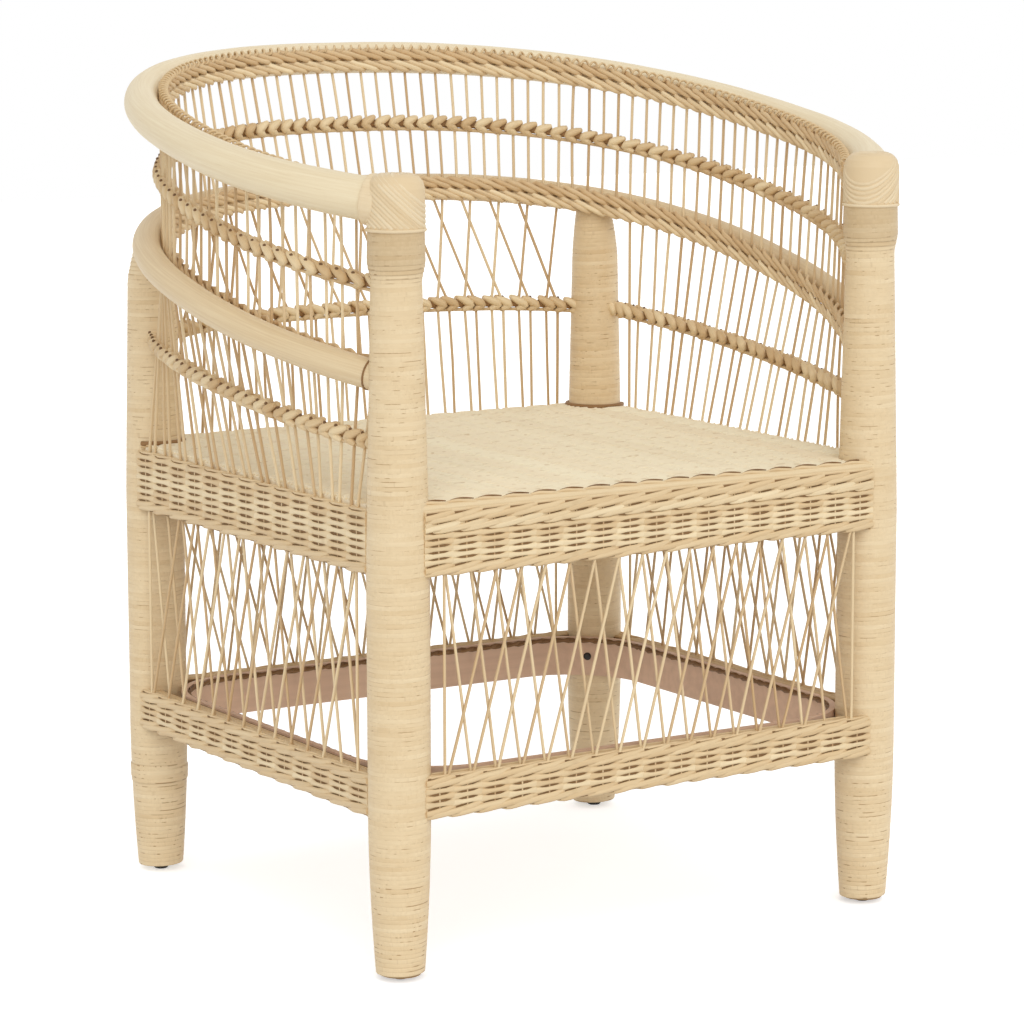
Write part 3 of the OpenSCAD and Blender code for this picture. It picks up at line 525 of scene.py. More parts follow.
class Rail:
    """A rail's middle line, with its points and inner side by distance from the left front post."""

    def __init__(self, sizes):
        self.line = rail_path(**sizes)
        self.at = run_along(self.line)
        self.end = self.at[-1]

    def point(self, s):
        return between(s, self.at, self.line)

    def inward(self, s, near=0.004):
        d = self.point(np.minimum(s + near, self.end)) - self.point(np.maximum(s - near, 0))
        return unit(np.stack([d[..., 1], -d[..., 0], np.zeros_like(d[..., 0])], -1))

    def beside(self, s, off):
        return self.point(s) + self.inward(s) * np.expand_dims(off, -1)


top_rail, mid_rail = Rail(TOP), Rail(MID)


def top_radius(s):
    k = np.maximum(0, (np.abs(2 * s / top_rail.end - 1) - 0.3) / 0.7)
    return TOP_R + TOP_SWELL * k * k


def mid_radius(s):
    return np.full_like(s, MID_R)


# Rails

def pole(name, rail, radius, start, end, node, material):
    """A rail's slightly uneven pole. Past the ends of its path it runs straight on."""
    s = np.linspace(start, end, 420)
    ahead = unit(rail.line[-1] - rail.point(rail.end - 0.004))
    line = rail.point(s) + np.outer(np.maximum(s - rail.end, 0), ahead)
    line = line + np.outer(np.maximum(-s, 0), ahead * [-1, 1, 1])
    thick = radius(s) * (1 + 0.006 * np.sin(s * 37) + 0.004 * np.sin(s * 91 + 1))
    mesh = grown(name, POLE_TREE, [path(line, thick, 0.5)], sides=40, material=material)
    return piece(name, [mesh], "cane_pole", node)


TOP_PAST, MID_SHORT = 0.007, 0.017
pole("top_rail_pole", top_rail, top_radius, -TOP_PAST, top_rail.end + TOP_PAST, "top_rail", RAIL)
pole("mid_rail_pole", mid_rail, mid_radius, MID_SHORT, mid_rail.end - MID_SHORT, "mid_rail", MIDDLE)


# Bound posts

REAR_LEAN, REAR_NARROW, REAR_LEAN_H = 0.0055, 0.0045, 0.050
RING_Z, RING_H, RING_OUT = 0.099, 0.013, 0.0010


def slim(z):
    """How much slimmer a post is at a height than where it is thickest."""
    z = np.asarray(z, float)
    foot = FOOT_SLIM * np.clip(1 - z / FOOT_H, 0, 1) ** 1.8
    return foot + TOP_SLIM * np.clip((z - SLIM_Z) / (TOP["z"] - SLIM_Z), 0, None)


corner_s = mid_rail.at[np.argmin(np.linalg.norm(mid_rail.line[:, :2] - [-X_POST, Y_REAR], axis=1))]
REAR_TOP = mid_rail.point(np.array([corner_s]))[0, 2] - MID_R


def wound_post(name, x, y, front, seed, nodes, ring=0.0):
    """A pole with a flat strand wound round it. A rear one narrows and leans below its rail."""
    top = COLLAR_TOP if front else REAR_TOP + 0.004
    z = np.linspace(0.0065, top - 0.0005, 700)
    thick = WRAP_R - slim(z) + ring * (np.abs(z - RING_Z) < RING_H / 2)
    lean = np.zeros_like(z)
    if front:
        widen = np.clip((z - COLLAR_Z + 0.008) / 0.020, 0, 1)
        thick = thick + COLLAR_T * widen * widen * (3 - 2 * widen)
    else:
        lean = np.clip((z - top + REAR_LEAN_H) / REAR_LEAN_H, 0, 1) ** 1.5
        thick = thick - REAR_NARROW * lean
    line = np.stack([-np.sign(x) * REAR_LEAN * lean, -REAR_LEAN * lean, z], 1)
    place = Matrix.Translation((x, y, 0))
    mesh = grown(name, WINDING_TREE, [(line, {"thick": thick})], place, seed=seed, material=BOUND,
                 turns=float((z[-1] - z[0]) / BINDING_PITCH), across=0.0004, tall=BINDING_TALL)
    piece(name, [mesh], "cane_binding", nodes[0])
    if not front:
        mesh = grown(name, POLE_TREE, [path(line, thick - 0.0008, 0.3)], place, sides=40, material=RAIL)
        piece(f"{name}_pole", [mesh], "cane_pole", nodes[1])


wound_post("binding_a", -X_POST, Y_FRONT, True, 0.0, ["binding_front_left"])
wound_post("binding_b", X_POST, Y_FRONT, True, 31.0, ["binding_front_right"])
wound_post("binding_c", -X_POST, Y_REAR, False, 57.0, ["binding_rear_left", "post_rear_left"], RING_OUT)
wound_post("binding_d", X_POST, Y_REAR, False, 83.0, ["binding_rear_right", "post_rear_right"])


# Knuckles: thin rods laid slantwise over the dome, a sleeve round the rail's end and a ring below

ROD_THICK, ROD_PITCH, ROD_IN, RING_THICK = 0.0025, 0.0031, 0.0016, 0.0016
SLEEVE_FROM, SLEEVE_TO = 0.012, 0.0265


def slanting_cuts(r, z, slant, d):
    """The lines in which a slanting plane cuts a turned surface of outline r, z."""
    lines, line, angle = [], [], math.atan2(slant[1], slant[0])
    for turn in np.linspace(angle - math.pi, angle + math.pi, 90):
        across = (slant[0] * math.cos(turn) + slant[1] * math.sin(turn)) * r
        past = across + slant[2] * (z - TOP["z"]) - d
        hit = np.nonzero(np.sign(past[1:]) != np.sign(past[:-1]))[0]
        if len(hit):
            line.append((r[hit[0]] * math.cos(turn), r[hit[0]] * math.sin(turn), z[hit[0]]))
        else:
            lines.append(line)
            line = []
    return [np.array(line) for line in lines + [line] if len(line) > 5]


def knuckle(name, side):
    rail_r, big = TOP_R + TOP_SWELL, WRAP_R - float(slim(COLLAR_Z)) + COLLAR_T - 0.0005
    top = TOP["z"] + rail_r + 0.0065
    outline = np.array([(0, top), (big - 0.0105, top - 0.0004), (big - 0.0055, top - 0.0026),
                        (big - 0.0017, top - 0.007), (big, top - 0.013), (big, COLLAR_TOP + 0.001)]) - ROD_IN
    share = np.linspace(0, len(outline) - 1, 400)
    r, z = (np.interp(share, range(len(outline)), outline[:, axis]) for axis in (0, 1))
    r, z = (np.convolve(np.pad(v, 25, "edge"), np.ones(51) / 51, "valid") for v in (r, z))
    slant = unit(np.array([0.85 * -side, -0.53, 1.0]))
    rods = [strand(line, ROD_THICK) for d in np.arange(-0.05, 0.05, ROD_PITCH)
            for line in slanting_cuts(r, z, slant, d)]
    around = np.linspace(0, 2 * math.pi, 60)
    rods.append(strand(points(big * np.cos(around), big * np.sin(around), COLLAR_TOP + 0.001), RING_THICK))
    place = Matrix.Translation((side * X_POST, Y_FRONT, 0))
    meshes = [grown(name, CANE_TREE, rods, place, sides=6, material=WRAPPED)]
    rounded = rail_r + 0.0008 + 0.0022 * np.sqrt(1 - np.linspace(-1, 1, 40) ** 6)
    for rail, s, thick, material in (
            (top_rail, np.linspace(SLEEVE_FROM, SLEEVE_TO, 40), rounded, WRAPPED),
            (mid_rail, np.linspace(SLEEVE_TO - 0.0010, SLEEVE_TO + 0.0005, 6), MID_R + 0.0009, DARK_AND_SHADE)):
        line = rail.point(rail.end - s if side > 0 else s)
        meshes.append(grown(name, POLE_TREE, [path(line, thick, 0.6)], sides=40, material=material))
    return piece(name, meshes, "cane_binding")


knuckle("knuckle_a", -1)
knuckle("knuckle_b", 1)


# Walls: where their stakes stand, by number from the left front post

MID_OFF = MID_R + STAKE_R + LAY


def top_s(i):
    return STAKE_FROM + (top_rail.end - 2 * STAKE_FROM) * i / (STAKES - 1)


def mid_s(i):
    share = i / (STAKES - 1)
    return STAKE_FROM + (mid_rail.end - 2 * STAKE_FROM) * share + FOOT_SHIFT * np.sin(2 * math.pi * share)


def leaning(d, rail, s):
    """How many times further a line that leans like d must stand off a rail."""
    way = rail.point(np.minimum(s + 0.001, rail.end)) - rail.point(np.maximum(s - 0.001, 0))
    c = np.cross(d, way)
    return np.linalg.norm(c, axis=-1) / np.abs((c * rail.inward(s)).sum(-1))


def top_point(i):
    return top_rail.beside(top_s(i), top_radius(top_s(i)) + STAKE_R + LAY)


def mid_point(i):
    return mid_rail.beside(mid_s(i), np.full(len(i), MID_OFF))


def upper_foot(i):
    """Where a stake of the upper wall passes the middle rail, which settles in three rounds."""
    foot = mid_point(i)
    for _ in range(3):
        foot = mid_rail.beside(mid_s(i), MID_OFF * leaning(top_point(i) - foot, mid_rail, mid_s(i)))
    return foot


every = np.arange(STAKES, dtype=float)
first_half = every[:STAKES // 2 + 1]
side_last = int(first_half[mid_s(first_half) < corner_s - WRAP_R - 0.004].max())
back_first = int(first_half[mid_s(first_half) > corner_s + WRAP_R + 0.004].min())
back_last = STAKES - 1 - back_first


def edge_line(i):
    """The seat's edge below a stake."""
    k = np.minimum(i, STAKES - 1 - i)
    side = Y_FRONT + STAKE_FROM + (POST_DEPTH - 2 * STAKE_FROM) * np.minimum(k, side_last) / side_last
    back = -X_POST + STAKE_FROM + (POST_SPAN - 2 * STAKE_FROM) * (
        np.maximum(k, back_first) - back_first) / (back_last - back_first)
    share = np.clip((k - side_last) / (back_first - side_last), 0, 1)
    x = (-X_POST - STRAND_AT) * (1 - share) + back * share
    y = side * (1 - share) + (Y_REAR + STRAND_AT) * share
    return points(np.where(i > (STAKES - 1) / 2, -x, x), y, APRON_TOP)


def edge_point(i):
    """The same, with the stakes of each pair drawn together."""
    k = np.minimum(i, STAKES - 1 - i)
    side = k <= side_last
    draw = PAIR_DRAW * (1 - 2 * (np.where(side, k, k - back_first) % 2))
    turn = np.where(i > (STAKES - 1) / 2, -1, 1)
    return edge_line(i) + points(np.where(side, 0, draw * turn), np.where(side, draw, 0), 0.0)


def stakes(name, lows, highs, node):
    paths = [strand(bowed(a, b, rng.normal(0, 0.0006, 3)), STAKE_R) for a, b in zip(lows, highs)]
    return piece(name, [grown(name, CANE_TREE, paths, sides=8, material=STAKE)], "cane_strand", node)


left, right = every[:side_last + 1], every[STAKES - 1 - side_last:]
back, low_back = every[side_last + 1:STAKES - 1 - side_last], every[back_first:back_last + 1]
for name, which in (("left", left), ("back", back), ("right", right)):
    a, b = upper_foot(which), top_point(which)
    stakes(f"upper_wall_{name}", a - unit(b - a) * 0.004, b + unit(b - a) * 0.003, f"upper_stakes_{name}")
for name, which in (("left", left), ("right", right)):
    stakes(f"lower_wall_{name}", edge_point(which) + UP * 0.001, mid_point(which), f"lower_stakes_{name}")


def wall(i, t):
    """A point of the lower wall, from its knot band (0) to the middle rail (1)."""
    t = np.expand_dims(t, -1)
    return (edge_line(i) * (1 - t) + mid_point(i) * (1 + t)) / 2


def crossing(j, k, layer):
    """A stake from place j of the middle rail to place k of the seat's edge, in the layer 1 or -1."""
    foot, top = edge_point(np.array([k]))[0], mid_point(np.array([j]))[0]
    knot = (foot + mid_point(np.array([k]))[0]) / 2
    rise = np.linalg.norm(top - knot)
    t = np.linspace(0, 1, 15)
    at = k + (j - k) * t
    line = wall(at, t) + (knot - wall(np.array([k]), np.zeros(1))[0]) * (1 - t)[:, None]
    inner = unit(np.cross(wall(at + 0.2, t) - wall(at - 0.2, t), mid_point(at) - edge_line(at)))
    low, high = (KNOT_H / 2 + 0.001) / rise, 1 - (2 * ROPE_R + 0.002) / rise
    apart = np.clip(np.minimum((t - low) / (0.19 - low), (high - t) / (high - 0.75)), 0, 1)
    line = line - inner * (layer * apart * (STAKE_R + LAY))[:, None]
    line = line + inner * rng.normal(0, 0.0002)
    return np.vstack([foot + UP * 0.001, foot + (knot - foot) * 0.5 + rng.normal(0, 0.0005, 3), line])


crossed, last = [], back_last - back_first
for j in range(last + 1):
    if j % 2:
        crossed.append(strand(crossing(back_first + j, back_first + j - 1, -1), STAKE_R))
    elif j + 3 <= last:
        crossed.append(strand(crossing(back_first + j, back_first + j + 3, 1), STAKE_R))
crossed_mesh = grown("lower_wall_back", CANE_TREE, crossed, sides=8, material=STAKE)
piece("lower_wall_back", [crossed_mesh], "cane_strand", "lower_stakes_back")


# Knot bands: a bent petal on both sides of every stake, over a dark core that paints the shade between the
# petals

BAND_IN = 0.004
PETAL_H, PETAL_THICK, PETAL_TILT, PETAL_OUT = 0.0060, 0.0045, 0.50, 0.0026
HOLE_UP, HOLE_OUT, HOLE_ALONG, HOLE_HALF = 0.0062, 0.0036, 0.10, 0.10


def to_post(p):
    """How far a band runs on from a point to end just inside the nearest post's binding."""
    return min(math.hypot(p[0] - x, p[1] - y) for x, y in POSTS) - WRAP_R + BAND_IN


def longer(line, start, end):
    """A line of points with further points, evenly spaced, at both ends."""
    first, last = line[1] - line[0], line[-1] - line[-2]
    m, n = (max(1, round(d / np.linalg.norm(v))) for d, v in ((start, first), (end, last)))
    before = [line[0] - unit(first) * start * (k + 1) / m for k in range(m)][::-1]
    after = [line[-1] + unit(last) * end * (k + 1) / n for k in range(n)]
    return np.vstack([before, line, after])


def petal(middle, stand, way, out, slant):
    """One loop over a stake, which bends along the band halfway down, like a grain of a wheat ear."""
    tilt, rise = PETAL_TILT * (1 + 0.08 * rng.normal()), PETAL_H * (1 + 0.06 * rng.normal())
    u = np.linspace(0, 1, 9)
    full = np.sin(math.pi * u)
    along = slant * tilt * (0.7 - 1.4 * np.abs(2 * u - 1.2) ** 1.3)
    line = middle + np.outer(STAKE_R + 0.0002 + PETAL_OUT * full, out) + np.outer(along, way)
    line = line + np.outer(1 - 2 * u, stand * rise)
    return path(line, PETAL_THICK * (0.5 + 0.5 * full ** 0.7), rng.random())


def knot_band(name, low, high, node, slant):
    """Petals on both sides of the stakes over a core of painted shade, holes of painted shade outside and a
    thin lower rod.
    """
    middle = (low + high) / 2
    middle = longer(middle, to_post(middle[0]), to_post(middle[-1]))
    more = len(middle) - len(low)
    stand = np.pad(unit(high - low), (((more + 1) // 2, more // 2), (0, 0)), "edge")
    way = np.gradient(middle, axis=0)
    face = unit(np.cross(way, stand))
    petals, holes = [], []
    for m, s, a, f in zip(middle, stand, way, face):
        petals += [petal(m, s, a, f * side, slant) for side in (1, -1)]
        hole = m + s * HOLE_UP + a * HOLE_ALONG - f * (STAKE_R + HOLE_OUT)
        line = np.stack([hole - a * HOLE_HALF, hole, hole + a * HOLE_HALF])
        holes.append(path(line, [0.0008, 0.0017, 0.0008], 0.1))
    core = [path(middle, 0.0026, 0.9)]
    lower_rod = [path(middle - stand * 0.0060, 0.0017, 0.4)]
    meshes = [grown(name, CANE_TREE, petals, sides=8, material=ROPE),
              grown(name, POLE_TREE, core, sides=10, across=0.8, tall=1.5, material=DARK_AND_SHADE),
              grown(name, POLE_TREE, lower_rod, sides=8, material=ROPE),
              grown(name, CANE_TREE, holes, sides=8, material=DARK_AND_SHADE)]
    return piece(name, meshes, "cane_rope", node)


knot_band("upper_knot_band", upper_foot(every), top_point(every), "upper_knots", -1)
for name, which in (("left", left), ("back", low_back), ("right", right)):
    knot_band(f"lower_knot_band_{name}", edge_point(which), mid_point(which), f"lower_knots_{name}", 1)


# Braids along the rails, and a thin strand that lashes the upper one

def rail_band(rail, s_of, low, high, drop=0.0):
    """A path along the inner side of a wall of stakes, at a rail's height."""
    i = np.linspace(-0.35, STAKES - 0.65, 4 * STAKES)
    s = np.clip(s_of(i), 0, rail.end)
    p, n, a, d = rail.point(s), rail.inward(s), low(i), high(i) - low(i)
    q = a + d * ((p[:, 2] - drop - a[:, 2]) / d[:, 2])[:, None]
    off = ((q - p) * n).sum(-1) + (STAKE_R + 0.0012) * leaning(d, rail, s)
    return p + n * off[:, None] - UP * drop, {"face": n, "stand": unit(d), "beat": i + 0.5}


def lashing(line, marks, pitch=0.0095):
    """A strand that winds along the upper edge of a braid."""
    at, fine = np.arange(len(line)), np.linspace(0, len(line) - 1, 3000)
    middle, face, stand = (between(fine, at, values) for values in (line, marks["face"], marks["stand"]))
    spin = run_along(middle) / pitch * 2 * math.pi
    off, up = 0.001 + 0.0036 * np.cos(spin), 0.0125 + 0.0030 * np.sin(spin)
    return path(middle + face * off[:, None] + stand * up[:, None], 0.0012, 0.4)


braid = dict(rods=3, rows=2, row_height=0.0112, fall=0.0098, front=0.0036, back=0.0016, across=0.0017,
             tall=0.0026, step=0.003, sides=8, material=BRAID)
top_line = rail_band(top_rail, top_s, upper_foot, top_point, 0.002)
mid_line = rail_band(mid_rail, mid_s, upper_foot, top_point)
piece("top_rail_braid", [grown("top_braid", WALING_TREE, [top_line], **braid),
                         grown("lashing", CANE_TREE, [lashing(*top_line)], sides=6, material=ROPE)],
      "cane_rope", "top_braid")
piece("mid_rail_braid", [grown("mid_braid", WALING_TREE, [mid_line], **braid)], "cane_rope", "mid_braid")


# Lattices

LATTICE_EDGE = math.sqrt((WRAP_R + STRAND_GAP + STRAND_R) ** 2 - (STRAND_AT + STRAND_R) ** 2)
LATTICE_LOW, LATTICE_HIGH = BAND_TOP - 0.002, APRON_Z + 0.002


def lattice(name, long, cells, place, node):
    first = -long / 2 + LATTICE_EDGE + 2 * STRAND_R + LAY
    pitch = -2 * first / cells
    outer, inner = STRAND_AT + STRAND_R, STRAND_AT - STRAND_R
    runs = [(k, k + 2, outer) for k in range(cells - 1)] + [(k, k - 1, inner) for k in range(1, cells + 1)]
    paths = []
    for high, low, y in runs:
        a = np.array([first + low * pitch, y, LATTICE_LOW])
        b = np.array([first + high * pitch, y, LATTICE_HIGH])
        paths.append(strand(bowed(a, b, rng.normal(0, 0.0007, 3) * [1, 0.2, 0]), STRAND_R))
    for x in (-long / 2 + LATTICE_EDGE, long / 2 - LATTICE_EDGE):
        a, b = np.array([x, outer, LATTICE_LOW]), np.array([x, outer, LATTICE_HIGH])
        paths.append(strand(bowed(a, b), STRAND_R))
    mesh = grown(name, CANE_TREE, paths, place, sides=8, material=STAKE)
    return piece(name, [mesh], "cane_strand", node)


def facing(x, y, degrees):
    return Matrix.Translation((x, y, 0)) @ Matrix.Rotation(math.radians(degrees), 4, "Z")


SIDES = {"front": (POST_SPAN, FRONT_CELLS, facing(0, Y_FRONT, 180)),
         "back": (POST_SPAN, FRONT_CELLS, facing(0, Y_REAR, 0)),
         "left": (POST_DEPTH, SIDE_CELLS, facing(-X_POST, -CENTRE, 90)),
         "right": (POST_DEPTH, SIDE_CELLS, facing(X_POST, -CENTRE, -90))}
for name, (long, cells, place) in SIDES.items():
    lattice(f"{name}_lattice", long, cells, place, f"lattice_{name}")


# Woven boards: rows of paired rods over upright stakes, with thicker rows at the edges

STUB_R, RIM_R, RIM_ROD_R = 0.0011, 0.0014, 0.0022
APRON_RIM, BAND_RIM = (0.0030,), (0.0035, 0.0075, 0.0115)


def board_reach(long):
    """How far a board runs from its middle, to end just inside the bindings of two posts."""
    return long / 2 - math.sqrt(WRAP_R ** 2 - FACE ** 2) + 0.001


def board_line(long, cells, z, out=0.0):
    reach = board_reach(long)
    x = np.linspace(-reach, reach, 8 * cells)
    beat = (x + reach) / (2 * reach) * cells
    return points(x, FACE - 0.0008 + out, z), {"face": [0.0, 1.0, 0.0], "stand": UP, "beat": beat}


def woven_board(name, side, z, h, top_rows, low_rows, pairs, rim):
    """Paired rods between thicker rows, round upright stubs. Rods along its rim lie at the depths given."""
    long, cells, place = SIDES[side]
    row = (h - EDGE_ROW * (top_rows + low_rows)) / pairs
    thick = dict(rods=3, fall=EDGE_ROW * 0.74, row_height=EDGE_ROW, front=0.0019, back=0.0022, across=0.0013,
                 tall=EDGE_ROW * 0.33)
    paired = dict(rods=2, fall=row * 0.16, row_height=row, front=0.0017, back=0.0026, across=0.0011,
                  tall=row * 0.335, shift=0.0, sharp=1.25, swell=1.0)
    layers = ((z + h - EDGE_ROW * top_rows / 2, top_rows, thick),
              (z + EDGE_ROW * low_rows / 2, low_rows, thick),
              (z + EDGE_ROW * low_rows + row * pairs / 2, pairs, paired))
    meshes = [grown(name, WALING_TREE, [board_line(long, cells, at)], place, rows=rows, step=0.004, sides=7,
                    material=WEAVE, **sizes) for at, rows, sizes in layers if rows]
    reach, stubs = board_reach(long), []
    for k in range(cells):
        x = -reach + (k + 0.5) * 2 * reach / cells
        a, b = np.array([x, FACE - 0.0006, z + 0.002]), np.array([x, FACE - 0.0006, z + h - 0.002])
        stubs.append(strand(bowed(a, b, n=3), STUB_R))
    meshes.append(grown(name, CANE_TREE, stubs, place, sides=6, material=STAKE))
    if rim:
        line, marks = board_line(long, cells, z + h + 0.0003, -0.0018)
        meshes.append(grown(name, WALING_TREE, [(line, marks)], place, rods=2, rows=1, fall=RIM_R,
                            front=RIM_R, back=RIM_R, across=RIM_R, tall=RIM_R, step=0.003, sides=7,
                            material=WEAVE))
        rods = [strand(line - [0, depth, 0.0012], RIM_ROD_R) for depth in rim]
        meshes.append(grown(name, POLE_TREE, rods, place, sides=8, material=ROPE))
    return piece(name, meshes, "cane_weave")


for side in SIDES:
    if side == "front":
        woven_board("front_apron_weave", side, APRON_Z, APRON_H, 2, 1, 5, ())
    else:
        woven_board(f"{side}_apron_weave", side, APRON_Z, APRON_H, 0, 1, 7, APRON_RIM)
    woven_board(f"{side}_band_weave", side, BAND_Z, BAND_H, 1, 1, 3, BAND_RIM)


def hoop_line(z):
    """A path along the inner side of a hoop, round all four corners."""
    r = (WRAP_R + HOOP_FIT + BAR_T) / (math.sqrt(2) - 1)
    corners = []
    for right, behind, start in ((1, 1, 0), (-1, 1, 90), (-1, -1, 180), (1, -1, 270)):
        angle = np.radians(np.linspace(start, start + 90, 12))
        corners.append(points(right * (X_POST - r) + (r - 0.0006) * np.cos(angle),
                              behind * (POST_DEPTH / 2 - r) + (r - 0.0006) * np.sin(angle) - CENTRE, z))
    rough = np.vstack(corners + [corners[0][:1]])
    at = run_along(rough)
    fine = np.linspace(0, at[-1], 600)
    line = between(fine, at, rough)
    return line, {"face": unit(np.cross(UP, np.gradient(line, axis=0))), "stand": UP, "beat": fine / 0.014}


# A row of dark rods along the hoops' inner top edge paints the shade where the woven band meets the hoop.
hoop_edge = grown("hoop_edge", WALING_TREE, [hoop_line(BAND_TOP - 0.0012)], rods=2, rows=1, fall=0.0026,
                  front=0.0014, back=0.0010, across=0.0014, tall=0.0019, step=0.004, sides=6, material=DARK_AND_SHADE)
piece("hoop_edge_weave", [hoop_edge], "cane_weave")


# Seat: close rows of paired rods from side to side, and a rope along its front edge

SEAT_EDGE = STRAND_AT - STAKE_R - 4 * LAY
SEAT_FRONT = FACE - 2 * BORDER_R - LAY


def seat_reach(y):
    """How far a row of the seat runs from its middle, up to the edge or to the bound posts."""
    reach = X_POST + SEAT_EDGE
    for y_post in (Y_FRONT, Y_REAR):
        inside = WRAP_R ** 2 - (y - y_post) ** 2
        if inside > 0:
            reach = min(reach, X_POST - math.sqrt(inside))
    return reach


seat_rows = []
for y in np.arange(Y_FRONT - SEAT_FRONT + SEAT_ROW / 2, Y_REAR + SEAT_EDGE, SEAT_ROW):
    x = np.linspace(-seat_reach(y), seat_reach(y), 100)
    beat = (x + X_POST) / SEAT_BEAT + 0.5 + 0.12 * rng.normal()
    seat_rows.append((points(x, y, SEAT_Z - 0.0002), {"face": UP, "stand": [0.0, 1.0, 0.0], "beat": beat}))
seat_mesh = grown("seat_weave", WALING_TREE, seat_rows, rods=2, rows=1, fall=SEAT_ROW * 0.3, front=0.0012,
                  back=0.0014, across=0.0009, tall=SEAT_ROW * 0.36, step=0.006, sides=6, sharp=3.0,
                  material=SEAT)
piece("seat_weave", [seat_mesh], "seat_weave")


def seat_edge_rope():
    """A rope on two rods along the front edge, and dark arcs behind it, one over each column of the apron."""
    reach, y = board_reach(POST_SPAN), Y_FRONT - FACE + BORDER_R
    x = np.linspace(-reach, reach, 160)
    rod = points(x, y, APRON_TOP + 0.0039)
    rods = [path(rod, 0.0034, 0.6), path(rod - [0, 0.0014, 0.0030], 0.0024, 0.4)]
    rope = rod + [0, 0.0010, 0.0022], {
        "face": unit(np.array([0.0, -0.5, 0.9])), "stand": unit(np.array([0.0, 0.9, 0.5])),
        "beat": (x + reach) / (2 * reach) * FRONT_CELLS}
    u, arcs = np.linspace(0.08, 0.92, 9), []
    full = np.sin(math.pi * u)
    for k in range(FRONT_CELLS):
        line = points(-reach + (k + u) * 2 * reach / FRONT_CELLS, y + 0.0030 + 0.0030 * full,
                      SEAT_Z + 0.0034 + 0.0010 * full)
        arcs.append(path(line, 0.0009 * (0.4 + 0.6 * full), 0.2 + 0.6 * rng.random()))
    meshes = [grown("seat_edge_arcs", CANE_TREE, arcs, sides=6, material=DARK_AND_SHADE),
              grown("seat_edge", WALING_TREE, [rope], rods=2, rows=1, fall=0.0042, front=0.0022, back=0.0014,
                    across=0.0013, tall=0.0016, step=0.003, sides=8, sharp=1.4, material=WEAVE),
              grown("seat_edge_core", POLE_TREE, rods, sides=12, material=WEAVE)]
    return piece("seat_edge_rope", meshes, "cane_rope", "seat_border")


def post_foot_braids():
    """A small braid over a brown core, half round each rear post where it goes through the seat."""
    braids, cores = [], []
    for side in (-1, 1):
        a = np.linspace(-1.7, 1.7, 60) - math.pi / 2 - side * math.pi / 4
        out = points(np.cos(a), np.sin(a), 0.0)
        post = np.array([side * X_POST, Y_REAR, SEAT_Z])
        marks = {"face": out, "stand": UP, "beat": a / (2 * math.pi) * 16}
        braids.append((post + UP * 0.0012 + out * (WRAP_R - 0.0002), marks))
        cores.append(path(post + UP * 0.0030 + out * (WRAP_R + 0.0004), 0.0024, 0.8))
    meshes = [grown("foot_core", POLE_TREE, cores, sides=8, material=DARK_AND_SHADE),
              grown("foot_braid", WALING_TREE, braids, rods=2, rows=1, fall=0.0030, front=0.0016, back=0.0012,
                    across=0.0014, tall=0.0017, step=0.003, sides=7, material=ROPE)]
    return piece("post_foot_braids", meshes, "cane_rope")


seat_edge_rope()
post_foot_braids()


# Materials of the nodes that stay as packed

def give(material, *names):
    for name in names:
        mesh = NODES[name].data
        mesh.materials.clear()
        mesh.materials.append(material)


# The cores show only through cracks in the bindings, so their dark colour paints the shade there.
give(SHADE_CORE, "post_front_left", "post_front_right", "post_rear_left", "post_rear_right")
give(BAR, "lower_hoop", "seat_hoop")
give(WOOD, "seat_slats", "rail_pins")
give(DARK, "foot_glides", "hoop_screws")
# The boards behind the woven rows get a dark brown that paints the shade in the gaps between rows.
give(SHADE_BACKING, *(f"{part}_{side}" for part in ("apron", "band") for side in SIDES))
give(SEAT, "seat_panel")
give(WRAPPED, "knuckle_left", "knuckle_right")


# Light, floor and camera

WHITE = (1, 1, 1, 1)


def floor(size=8.0):
    """A pale floor that looks white and keeps the chair's shadow."""
    mesh = bpy.data.meshes.new("floor")
    corners = [(-size, -size, 0), (size, -size, 0), (size, size, 0), (-size, size, 0)]
    mesh.from_pydata(corners, [], [(0, 1, 2, 3)])
    thing = placed("floor", mesh)
    material = bpy.data.materials.new("pale_floor")
    tree = shader_tree(material)
    diffuse = add(tree, "ShaderNodeBsdfDiffuse", {"Color": (0.93, 0.93, 0.93, 1)})
    white = add(tree, "ShaderNodeEmission", {"Color": WHITE, "Strength": 0.5})
    both = add(tree, "ShaderNodeAddShader", {0: diffuse, 1: white})
    path = add(tree, "ShaderNodeLightPath")
    rays = calc(tree, "MAXIMUM", path.outputs["Is Camera Ray"], path.outputs["Is Glossy Ray"])
    choice = add(tree, "ShaderNodeMixShader", {"Fac": rays, 1: diffuse, 2: both})
    add(tree, "ShaderNodeOutputMaterial", {0: choice})
    mesh.materials.append(material)


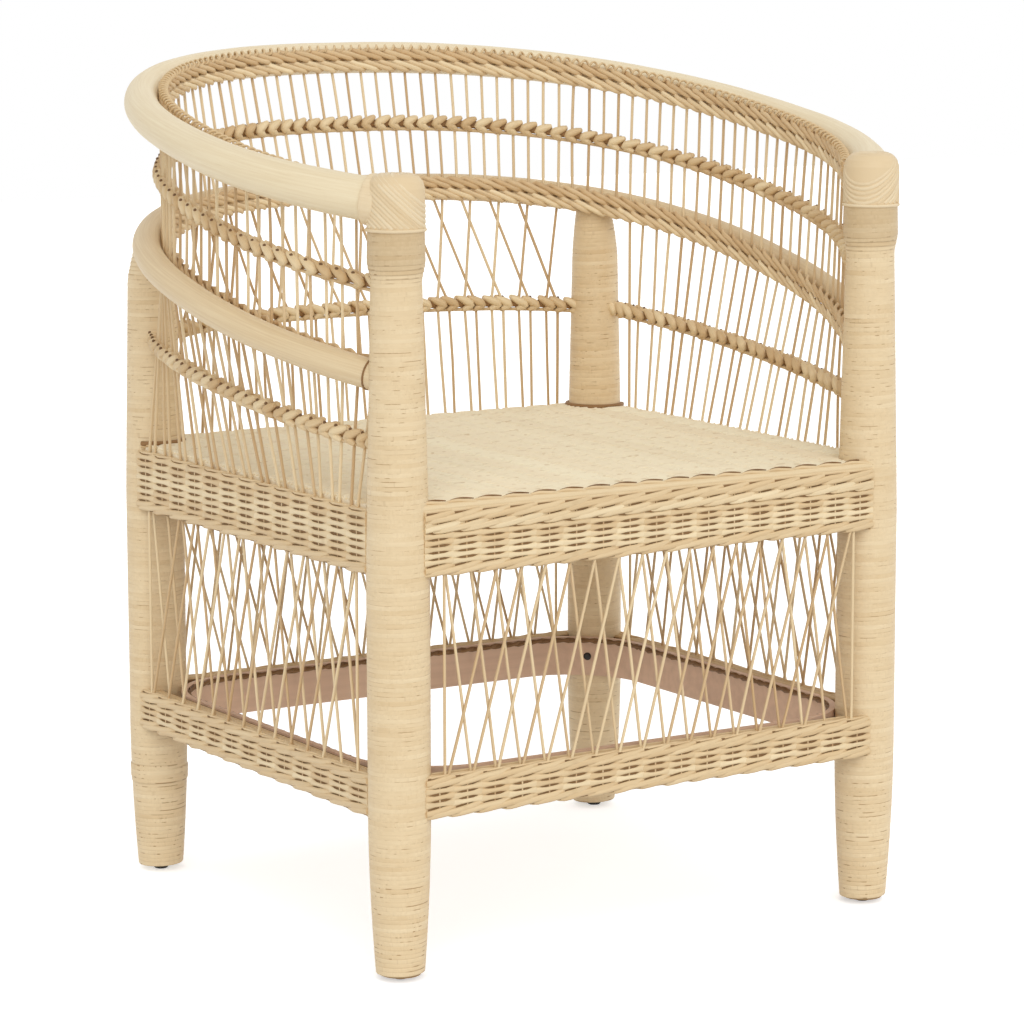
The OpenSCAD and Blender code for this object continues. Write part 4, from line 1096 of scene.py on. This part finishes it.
def studio(strength=0.70):
    """A plain white light from all sides, behind which the camera sees pure white."""
    world = bpy.data.worlds.new("studio")
    bpy.context.scene.world = world
    tree = shader_tree(world)
    rays = add(tree, "ShaderNodeLightPath").outputs
    seen = calc(tree, "MAXIMUM", calc(tree, "MAXIMUM", rays["Is Camera Ray"], rays["Is Glossy Ray"]),
                rays["Is Transmission Ray"])
    lit = add(tree, "ShaderNodeBackground", {"Color": WHITE, "Strength": strength})
    shown = add(tree, "ShaderNodeBackground", {"Color": WHITE, "Strength": 1.0})
    both = add(tree, "ShaderNodeMixShader", {"Fac": seen, 1: lit, 2: shown})
    add(tree, "ShaderNodeOutputWorld", {0: both})


def lamp(name, direction, strength, angle):
    data = bpy.data.lights.new(name, "SUN")
    data.energy = strength
    data.angle = math.radians(angle)
    thing = placed(name, data)
    thing.rotation_mode = "QUATERNION"
    thing.rotation_quaternion = Vector(direction).to_track_quat("-Z", "Y")


floor()
studio()
lamp("key_lamp", (0.42, 0.85, -0.66), 1.03, 50)
lamp("fill_lamp", (-0.9, 0.35, -0.6), 0.30, 60)

# The camera stands where a fit to the posts and rails of the photograph puts it.
CAMERA_AT = Vector((-1.934, -3.123 - CENTRE, 0.947))
YAW, PITCH, ROLL = 0.5563, 0.1572, -0.0016
FOCAL_PIXELS, PHOTO_PIXELS, SENSOR = 3888.0, 1024, 36.0
ahead = Vector((math.sin(YAW) * math.cos(PITCH), math.cos(YAW) * math.cos(PITCH), -math.sin(PITCH)))
level = ahead.cross(Vector((0, 0, 1))).normalized()
above = level.cross(ahead)
across = level * math.cos(ROLL) + above * math.sin(ROLL)
upward = -level * math.sin(ROLL) + above * math.cos(ROLL)
camera_data = bpy.data.cameras.new("camera")
camera_data.sensor_width = SENSOR
camera_data.lens = SENSOR * FOCAL_PIXELS / PHOTO_PIXELS
camera = placed("camera", camera_data)
camera.matrix_world = Matrix((*zip(across, upward, -ahead, CAMERA_AT), (0, 0, 0, 1)))
bpy.context.scene.camera = camera
bpy.context.scene.view_settings.view_transform = "Standard"
